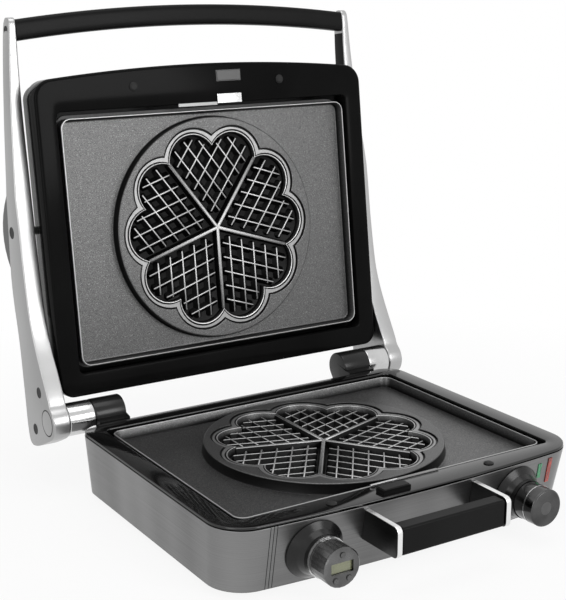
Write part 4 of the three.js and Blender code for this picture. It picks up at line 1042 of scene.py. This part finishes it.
def make_lid_shell():
    """The pressed lid cover: its inside from the crown down, the flange, then the outside up to the crown.

    At a share s of the quarter turn, the inset grows by crown (1 - cos) and the height follows the sine."""
    base = LID_FACE + LID_FRAME_HEIGHT + GAP
    flange = LID_FRAME_WALL / 2

    def crown(drop):
        """Loops of the crown's quarter turn, lowered and drawn in by a distance."""
        return frame_loops((lid_outline, *(
            (SHELL_INSET + drop + SHELL_CROWN * (1 - math.cos(turn)),
             base + (SHELL_HEIGHT - drop) * (0.4 + 0.6 * math.sin(turn)))
            for turn in np.linspace(0, np.pi / 2, CROWN_ROWS)
        )))

    rim = frame_loops(
        (lid_outline,
         (SHELL_INSET + SHELL_WALL, base + 1.0 * MM),
         (SHELL_INSET + SHELL_WALL, base),
         (flange, base),
         (flange, base + SHELL_WALL - 0.2 * MM),
         (flange + 0.2 * MM, base + SHELL_WALL),
         (SHELL_INSET - 0.6 * MM, base + SHELL_WALL),
         (SHELL_INSET, base + SHELL_WALL + 0.6 * MM)),
    )
    loops = np.concatenate([crown(SHELL_WALL)[::-1], rim, crown(0)])
    piece = loops_mesh("lid_cover", open_up(loops), sharp_degrees=50)
    middle = shut_point(LID_REAR + LID_DEPTH / 2, base + SHELL_HEIGHT * 0.35)
    # Painted shade on the cover's inside, and near black on its sides below a height
    mark_dark(piece, middle, base + SHELL_HEIGHT * SHELL_DARK_SHARE)
    return piece


def mark_dark(piece, middle, limit):
    """Marks what looks towards a middle line in Y and Z, the shell's inside, to be painted near black as
    painted shade, and what lies below a height over the shut hinge, to be painted near black as well.
    """
    places = vertex_rows(piece, "co")
    away = places - np.array([0, *middle])
    facing = (away * vertex_rows(piece, "normal")).sum(axis=1)
    up = (places[:, 1] - AXIS_Y) * math.sin(OPEN) + (places[:, 2] - AXIS_Z) * math.cos(OPEN)
    mark(piece, "inside", (facing < 0) | (up < limit))


dress(make_lid_frame(), "lid_black", "lid", "gloss_black", "lid_frame")
dress(make_lid_shell(), "lid_steel", "lid", "brushed_steel", "lid_shell")

# Arms, their inner strips and screws, and the top handle. Along is forward of the hinge and up is above it,
# lid shut

ARM_OUTER = 205 * MM
ARM_FACE = ARM_OUTER - 0.2 * MM
ARM_ROOT = 17.3 * MM
ARM_TIP = 7 * MM
ARM_LEAN = 12.3 * MM
ARM_END = 382 * MM
LEAN_START = 215 * MM
ARM_EDGE = 1.6 * MM
ARM_ROWS = 150
EDGE_STEPS = 5
ARM_LOW = np.array([
    (-28.4, 38), (-27.2, 29), (-22.6, 13), (-18.6, 1), (-15.4, -7.2), (-9.8, -13.9), (-0.8, -17),
    (8.4, -14.8), (15, -9.6), (22, -7.2), (30.2, -3.9), (40, 0.4), (50, 4.8), (69.9, 12.9), (90.2, 19.3),
    (111.9, 23), (155.1, 26), (194.8, 27), (230, 28.5), (265.1, 31), (299.9, 32.5), (340, 32.3),
    (376, 31.1), (382, 36),
]) * MM
ARM_HIGH = np.array([
    (-28.4, 38), (-28.2, 45), (-24.6, 50.5), (-17, 52.6), (-5, 53.6), (14.9, 53.6), (44, 53.9), (69.9, 54.5),
    (90.2, 56.3), (110, 58.8), (129.9, 59.8), (147, 58.9), (182, 54.9), (217, 51.2), (244.9, 51.3),
    (285, 51.9), (340, 50.4), (374, 47), (382, 42),
]) * MM


def smooth_line(points, count):
    """A Catmull-Rom curve through points, by count samples spread evenly over its own length."""
    ends = np.concatenate([2 * points[:1] - points[1:2], points, 2 * points[-1:] - points[-2:-1]])
    pieces = []
    t = np.linspace(0, 1, 24, endpoint=False)[:, None]
    for a, b, c, d in zip(ends, ends[1:], ends[2:], ends[3:]):
        pieces.append(0.5 * (2 * b + (c - a) * t + (2 * a - 5 * b + 4 * c - d) * t ** 2
                             + (3 * b - a - 3 * c + d) * t ** 3))
    line = np.concatenate([*pieces, points[-1:]])
    length = np.concatenate([[0], np.cumsum(np.linalg.norm(np.diff(line, axis=0), axis=1))])
    wanted = np.linspace(0, length[-1], count)
    return np.stack([np.interp(wanted, length, line[:, 0]), np.interp(wanted, length, line[:, 1])], axis=1)


def arm_lean(along):
    """Share of the arm's lean at a distance along it: none up to the pad, then even to the tip."""
    return np.clip((along - LEAN_START) / (ARM_END - LEAN_START), 0, 1)


def arm_outer(along):
    """How far the arm's outer face stands from the middle: straight, then leaning in."""
    return ARM_FACE - ARM_LEAN * arm_lean(along)


def arm_inner(along):
    """How far the arm's inner face stands from the middle: straight, then drawn in a little."""
    return ARM_OUTER - ARM_ROOT + (ARM_ROOT - ARM_LEAN - ARM_TIP) * arm_lean(along)


def arm_section(low, high, inner, outer, edge):
    """Loops of a round-edged section between two lines of (along, up) and between two faces.

    inner and outer give the faces' distance from the middle at a distance along the arm."""
    quarter = np.linspace(0, np.pi / 2, EDGE_STEPS)
    gap = np.linalg.norm(high - low, axis=1)
    middle = (low[:, 0] + high[:, 0]) / 2
    radius = np.minimum(edge, np.minimum(gap, outer(middle) - inner(middle)) / 2.05)[:, None]
    rows = []
    for face, level, start in ((1, 1, 0), (-1, 1, np.pi / 2), (-1, -1, np.pi), (1, -1, 3 * np.pi / 2)):
        angle = start + quarter
        centre = np.where(level > 0, gap, 0)[:, None] - level * radius
        share = (centre + radius * np.sin(angle)) / np.maximum(gap, TINY)[:, None]
        along = low[:, :1] + (high - low)[:, :1] * share
        up = low[:, 1:] + (high - low)[:, 1:] * share
        plane = outer(along) if face > 0 else inner(along)
        rows.append(np.stack([plane - face * radius + radius * np.cos(angle), -along, up], axis=2))
    return np.concatenate(rows, axis=1)


def mirrored(loops, side):
    """Loops made for the right side, carried over to the side asked for."""
    return loops * np.array([side, 1, 1])


def mark_painted_lit_faces(piece):
    """Marks the narrow faces, whose normals lie across the X axis, from 0 on the sides to 1: these take a
    lighter grey as painted light, and the sides a darker one as painted shade.
    """
    across = np.abs(vertex_rows(piece, "normal")[:, 0])
    mark(piece, "narrow", np.clip((0.75 - across) / 0.3, 0, 1))


def make_arm(side, word):
    """An arm: round-edged sections between its lower and upper lines, from the heel to the tip."""
    low = smooth_line(ARM_LOW, ARM_ROWS)
    high = smooth_line(ARM_HIGH, ARM_ROWS)
    loops = arm_section(low, high, arm_inner, arm_outer, ARM_EDGE)
    piece = loops_mesh(f"side_arm_{word}", open_up(mirrored(loops, side)), sharp_degrees=50)
    mark_painted_lit_faces(piece)
    return piece


# Screws and small fasteners on the arms' outer sides, as (name, forward, up, radius, solid it stands for)

ARM_SCREWS = (
    ("handle_screw_head", 370 * MM, 39.2 * MM, 4.6 * MM, "handle_screw"),
    ("pivot_screw_head", 180 * MM, 45 * MM, 5.8 * MM, None),
    ("upper_fastener", 27.7 * MM, 14.1 * MM, 5.4 * MM, None),
    ("lower_fastener", -10.8 * MM, 32.4 * MM, 5.4 * MM, None),
)


def make_arm_screw(name, side, forward, up, radius):
    """A dark head set low in its ring: a profile turned about X on the arm's outer side."""
    y, z = shut_point(forward, up)
    face = float(arm_outer(forward))
    profile = softened([
        (0, face - 1 * MM), (radius, face - 1 * MM), (radius, face + 0.12 * MM),
        (radius * 0.82, face + 0.12 * MM), (radius * 0.72, face + 0.02 * MM), (0, face + 0.02 * MM),
    ], 0.1 * MM)
    profile[:, 1] *= side
    return turned(name, profile, (0, y, z), (1, 0, 0), 40)


LINER_START = 96 * MM
LINER_END = 357.5 * MM
LINER_INSET = 1.2 * MM
LINER_PROUD = 0.15 * MM
LINER_SUNK = 1.2 * MM
LINER_ROWS = 90
LINE_SAMPLES = 400
PAST_HUB = 20 * MM


def make_liner(side, word):
    """The black skin on the arm's inner side: the arm's own lines drawn in, between two stations."""
    along = np.linspace(LINER_START, LINER_END, LINER_ROWS)
    lines = []
    for points, inset in ((ARM_LOW, LINER_INSET), (ARM_HIGH, -LINER_INSET)):
        line = smooth_line(points, LINE_SAMPLES)
        line = line[line[:, 0] > PAST_HUB]
        lines.append(np.stack([along, np.interp(along, line[:, 0], line[:, 1]) + inset], axis=1))
    loops = arm_section(
        *lines,
        lambda place: arm_inner(place) - LINER_PROUD,
        lambda place: arm_inner(place) + LINER_SUNK,
        0.3 * MM,
    )
    return loops_mesh(f"arm_inner_strip_{word}", open_up(mirrored(loops, side)), sharp_degrees=50)


HANDLE_START = 359 * MM
HANDLE_MIDDLE = HANDLE_START + 11 * MM
HANDLE_HEIGHT = 20.4 * MM
HANDLE_ARCH = 11 * MM
HANDLE_LOW = 31.4 * MM
HANDLE_THICK = 14.1 * MM
HANDLE_SQUARE = 0.55
HANDLE_ROWS = 60
HANDLE_AROUND = 40


def make_top_handle():
    """The handle: a section with large round edges carried across along a shallow parabola.

    The section is a superellipse, and its place forward is start + arch (1 - x^2)."""
    share = np.linspace(-1, 1, HANDLE_ROWS)
    half = float(arm_inner(HANDLE_MIDDLE)) - GAP
    angle = np.linspace(0, 2 * np.pi, HANDLE_AROUND, endpoint=False)
    wide = np.sign(np.cos(angle)) * np.abs(np.cos(angle)) ** HANDLE_SQUARE * HANDLE_HEIGHT / 2
    tall = np.sign(np.sin(angle)) * np.abs(np.sin(angle)) ** HANDLE_SQUARE * HANDLE_THICK / 2
    forward = HANDLE_MIDDLE + HANDLE_ARCH * (1 - share[:, None] ** 2)
    places = np.broadcast_arrays(
        share[:, None] * half, -(forward + wide), HANDLE_LOW + HANDLE_THICK / 2 + tall)
    return loops_mesh("top_grip", open_up(np.stack(places, axis=2)), sharp_degrees=50)


dress(make_top_handle(), "satin_black", "arms", "matte_black", "top_handle")
for side, word in SIDES:
    dress(make_arm(side, word), "arm_metal", "arms", "brushed_aluminium", f"arm_{word}")
    dress(make_liner(side, word), "satin_black", "arms", "matte_black", f"arm_liner_{word}")
    for screw, forward, up, radius, solid in ARM_SCREWS:
        piece = make_arm_screw(f"{screw}_{word}", side, forward, up, radius)
        dress(piece, "rubber", "arms", "matte_black", *stood_for(solid, word))

# Hinge

TOWER_LOW, TOWER_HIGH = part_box("hinge_tower_right")
COLLAR_LOW, COLLAR_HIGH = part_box("hinge_collar_right")
COLLAR_RADIUS = 16 * MM
PIN_RADIUS = 12 * MM
SEAM = 1.1 * MM
TOWER_EDGE = 1.6 * MM
TOWER_FOOT = 10 * MM

# Discs about the hinge's axis: a name, radius, inner and outer face, softness, sides, finish, slot and solid

HINGE_DISCS = (
    ("chrome_collar", COLLAR_RADIUS, COLLAR_LOW.x, COLLAR_HIGH.x, 1.0 * MM, 96,
     "chrome", "chrome", "hinge_collar"),
    ("pin_head", PIN_RADIUS, ARM_OUTER - 3 * MM, ARM_OUTER, 0.6 * MM, 72,
     "arm_metal", "brushed_aluminium", "hinge_pin"),
    ("pin_seam", PIN_RADIUS + SEAM, ARM_FACE - 1 * MM, ARM_FACE + 0.05 * MM, 0.05 * MM, 72,
     "satin_black", "matte_black", None),
)


def make_tower(side, word):
    """The hinge tower: a side outline, round over the axis and square down the rear wall, carried across."""
    wall = CASE_REAR + GAP
    angle = np.radians(np.linspace(-30, 177, 40))
    arc = np.stack([AXIS_Y + COLLAR_RADIUS * np.cos(angle), AXIS_Z + COLLAR_RADIUS * np.sin(angle)], axis=1)
    foot = [(wall, TOWER_LOW.z), (wall + TOWER_FOOT, TOWER_LOW.z)]
    line = np.concatenate([foot, arc, [(wall, AXIS_Z)]])
    middle = np.array([(wall + AXIS_Y) / 2, AXIS_Z])
    return carried_across(f"tower_{word}", line, middle, TOWER_LOW.x, TOWER_HIGH.x, side, TOWER_EDGE)


for side, word in SIDES:
    dress(make_tower(side, word), "tower_black", "base", "gloss_black", f"hinge_tower_{word}")
    for name, radius, inner, outer, soft, sides, finish, slot, solid in HINGE_DISCS:
        line = disc_line(radius, inner, outer, soft) * (1, side)
        piece = turned(f"{name}_{word}", line, (0, AXIS_Y, AXIS_Z), (1, 0, 0), sides)
        dress(piece, finish, "base", slot, *stood_for(solid, word))

# Front: collars, timer, knob, lights and handle

CONTROL_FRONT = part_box("temperature_knob")[0].y
CONTROL_RADIUS = 17 * MM
COLLAR_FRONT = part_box("dial_collar")[0].y


def case_face(x, z):
    """Y of the casing's front face at a place across and a height."""
    lean = (CASE_TOP - z) / (CASE_TOP - CASE_BOTTOM)
    return CASE_FRONT + FRONT_DRAFT * lean - BOW * (1 - (x / HALF_WIDTH) ** 2)


def make_flare(name, x):
    """The black flared collar: a profile carried round, its last loops laid on the casing's leaning face.

    Each loop is at a share of the way from the collar's front to the casing face at that angle."""
    angle = np.linspace(0, 2 * np.pi, 96, endpoint=False)
    profile = softened([
        (14 * MM, 0), (17.6 * MM, 0), (17.9 * MM, 0.25), (20.5 * MM, 0.62), (26 * MM, 0.93), (26 * MM, 1),
    ], 1.5 * MM, 4)
    radius, share = profile.T[:, :, None]
    across = x + radius * np.cos(angle)
    height = CONTROL_Z + radius * np.sin(angle)
    back = case_face(across, height) - GAP
    loops = np.stack([across, COLLAR_FRONT + (back - COLLAR_FRONT) * share, height], axis=2)
    return loops_mesh(name, loops, sharp_degrees=50)


FORWARD = (0, -1, 0)
for word, across in (("dial", DIAL_X), ("timer", TIMER_X)):
    dress(make_flare(f"{word}_flare", across), "tower_black", "base", "gloss_black", f"{word}_collar")


def make_dial():
    """The knob: a profile turned about its axis, with a rounded front edge and a shallow dish."""
    base = COLLAR_FRONT - GAP
    front = base - CONTROL_FRONT
    line = softened([
        (0, 0), (CONTROL_RADIUS, 0), (CONTROL_RADIUS, front - 1.2 * MM), (CONTROL_RADIUS - 1.2 * MM, front),
        (CONTROL_RADIUS - 1.5 * MM, front - 0.1 * MM), (0, front - 0.5 * MM),
    ], 0.4 * MM)
    return turned("dial", line, (DIAL_X, base, CONTROL_Z), FORWARD, 96)


def make_dial_face():
    """The disc set in the knob's front."""
    line = disc_line(CONTROL_RADIUS - 1.9 * MM, -0.8 * MM, 0.15 * MM, 0.1 * MM)
    return turned("dial_face", line, (DIAL_X, CONTROL_FRONT + 0.5 * MM, CONTROL_Z), FORWARD, 96)


dress(make_dial(), "gunmetal_turned", "temperature_dial", "gunmetal", "temperature_knob")
dress(make_dial_face(), "knob_face_metal", "temperature_dial", "gunmetal")

repaint("chrome", "temperature_knob_ring", "timer_ring")
repaint("gunmetal_timer", "timer_body")
repaint("timer_face_metal", "timer_face")
repaint("soft_grey", "timer_key_top", "timer_key_left", "timer_key_right", "upper_release_button")
repaint("satin_black", "lower_release_button")
repaint("green_lens", "ready_light")
repaint("red_lens", "power_light")
repaint("rubber", "deck_plug_left", "deck_plug_right", "lid_plug_left", "lid_plug_right",
        "foot_1", "foot_2", "foot_3", "foot_4")
repaint("pan_black", "base_pan", "cord_gland", "thermostat")
repaint("dull_steel", "lower_element", "upper_element", "thermostat_shaft", "pivot_pin_left",
        "pivot_pin_right", "handle_screw_left", "handle_screw_right")
repaint("reflector_sheet", "lower_reflector", "upper_reflector")
repaint("pad_grey", "arm_pad_left", "arm_pad_right")
repaint("display_glass", "timer_lens")

GRIP_EDGE = 2.2 * MM
BRACKET_RADIUS = 6 * MM
BRACKET_EDGE = 0.5 * MM


def make_bracket(side, word):
    """The handle's bracket: a side outline, its front corners round, carried across between its two faces."""
    low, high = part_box("handle_bracket_right")
    middle_x = (low.x + high.x) / 2
    line = softened([
        (case_face(middle_x, low.z) - GAP, low.z), (low.y, low.z), (low.y, high.z),
        (case_face(middle_x, high.z) - GAP, high.z),
    ], BRACKET_RADIUS, 8)
    middle = line.mean(axis=0)
    piece = carried_across(f"handle_bracket_plate_{word}", line, middle, low.x, high.x, side, BRACKET_EDGE)
    mark_painted_lit_faces(piece)
    return piece


grip = block("front_handle_bar", *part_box("front_grip"), GRIP_EDGE, 4)
dress(grip, "satin_black", "base", "matte_black", "front_grip")

# Catches, in their plate's own frame: across, ahead of its middle, above its rim

CATCH_HALF = 36 * MM
CATCH_HOOK_END = -8 * MM
CATCH_LIP = 2.4 * MM
CATCH_LIP_THICK = 0.9 * MM
CATCH_HOOK_THICK = 1.75 * MM
CATCH_FOOT = DECK_TOP - PLATE_RIM + 0.1 * MM

# Catches as word, place, body, the wall that each lies on and how far its hook reaches over the plate

CATCHES = (
    ("lower", on_base, "lower_catch_body", -OPENING_HALF_Y, 1.2 * MM),
    ("upper", on_lid, "upper_catch_body", -LID_OPENING_HALF_Y, 8.5 * MM),
)
for word, place, body, wall, reach in CATCHES:
    lip = block(f"{word}_catch_lip", (CATCH_HOOK_END + 0.1 * MM, wall - 0.8 * MM, CATCH_FOOT),
                (CATCH_HALF, wall + CATCH_LIP, CATCH_FOOT + CATCH_LIP_THICK), 0.2 * MM, 2, place)
    dress(lip, "dull_steel", body, "chrome", f"{word}_catch")
    hook = block(f"{word}_catch_hook", (-CATCH_HALF, wall - reach, CATCH_FOOT),
                 (CATCH_HOOK_END, wall + 1.0 * MM, CATCH_FOOT + CATCH_HOOK_THICK), 0.4 * MM, 3, place)
    dress(hook, "chrome", body, "chrome")

for side, word in SIDES:
    dress(make_bracket(side, word), "bracket_metal", "base", "brushed_aluminium", f"handle_bracket_{word}")

# Floor, backdrop and light

SWEEP_FRONT = -5.0
SWEEP_BACK = 2.6
SWEEP_TURN = 1.0
SWEEP_TOP = 5.0
SWEEP_HALF = 30.0
SHADOW_NEAR = 0.3
SHADOW_FAR = 0.7
SHADE = 0.1
FLOOR_WHITE = 0.95
ROOM = 0.33

# Lamps as name, place, aim, width, height and watts

LAMPS = (
    ("soft_top", (0.0, -0.1, 1.8), (0, 0, 0.1), 1.4, 1.0, 8),
    ("soft_key", (0.55, -1.75, 0.85), (0, 0.1, 0.3), 0.9, 0.8, 14),
    ("soft_left", (-1.7, -0.9, 0.8), (0, 0, 0.2), 0.8, 1.2, 9),
)


def seen_directly(tree):
    """1 for rays from the camera, off shiny pieces or through clear ones, and else 0."""
    path = tree.nodes.new("ShaderNodeLightPath").outputs
    seen = calculated(tree, "MAXIMUM", path["Is Camera Ray"], path["Is Glossy Ray"])
    return calculated(tree, "MAXIMUM", seen, path["Is Transmission Ray"])


def white_ground(name):
    """White to the camera and to shiny or clear pieces, apart from the object's shadow near it.

    There its own light is one less a share of diffuse white, and that share fades away from the object."""
    material = bpy.data.materials.new(name)
    material.use_nodes = True
    tree = material.node_tree
    tree.nodes.clear()
    plain = add_node(tree, "ShaderNodeBsdfDiffuse", {"Color": rgba(FLOOR_WHITE)}).outputs["BSDF"]
    white = add_node(tree, "ShaderNodeEmission", {"Strength": 1.0}).outputs["Emission"]
    distance = add_node(tree, "ShaderNodeVectorMath", {0: object_place(tree)}, operation="LENGTH")
    fade = add_node(tree, "ShaderNodeMapRange", {
        "Value": distance.outputs["Value"], "From Min": SHADOW_NEAR, "From Max": SHADOW_FAR,
        "To Min": SHADE, "To Max": 0,
    }).outputs["Result"]
    near = add_node(tree, "ShaderNodeMixShader", {"Fac": fade, 1: white, 2: plain}).outputs["Shader"]
    seen = add_node(tree, "ShaderNodeMixShader", {"Fac": seen_directly(tree), 1: plain, 2: near})
    add_node(tree, "ShaderNodeOutputMaterial", {"Surface": seen.outputs["Shader"]})
    return material


def make_sweep():
    """Floor and backdrop in one: a straight floor, a quarter circle and a wall, carried across."""
    turn = np.linspace(0, np.pi / 2, 24)
    curve_y = SWEEP_BACK - SWEEP_TURN + SWEEP_TURN * np.sin(turn)
    curve = np.stack([curve_y, SWEEP_TURN * (1 - np.cos(turn))], axis=1)
    line = np.concatenate([[(SWEEP_FRONT, 0)], curve, [(SWEEP_BACK, SWEEP_TOP)]])
    count = len(line)
    points = np.concatenate([np.insert(line, 0, x, axis=1) for x in (-SWEEP_HALF, SWEEP_HALF)])
    step = np.arange(count - 1)
    faces = np.stack([step, step + count, step + count + 1, step + 1], axis=1)
    mesh = bpy.data.meshes.new("sweep")
    mesh.from_pydata(points.tolist(), [], faces.tolist())
    mesh.shade_smooth()
    mesh.materials.append(white_ground("sweep_white"))
    put_in_scene("sweep", mesh)


def area_light(name, place, aim, width, height, watts):
    """A soft box at a place, aimed at a point."""
    data = bpy.data.lights.new(name, "AREA")
    data.shape = "RECTANGLE"
    data.size = width
    data.size_y = height
    data.energy = watts
    lamp = put_in_scene(name, data)
    lamp.location = place
    lamp.rotation_euler = (Vector(aim) - Vector(place)).to_track_quat("-Z", "Y").to_euler()


def make_world():
    """A dim even grey room, white to the camera and to shiny or clear pieces."""
    world = bpy.data.worlds.new("studio")
    bpy.context.scene.world = world
    world.use_nodes = True
    tree = world.node_tree
    background = tree.nodes["Background"]
    strength = spread(tree, seen_directly(tree), ROOM, 1.0)
    set_inputs(tree, background, {"Color": rgba(1.0), "Strength": strength})


make_sweep()
make_world()
for lamp in LAMPS:
    area_light(*lamp)

bpy.context.scene.view_settings.view_transform = "Standard"
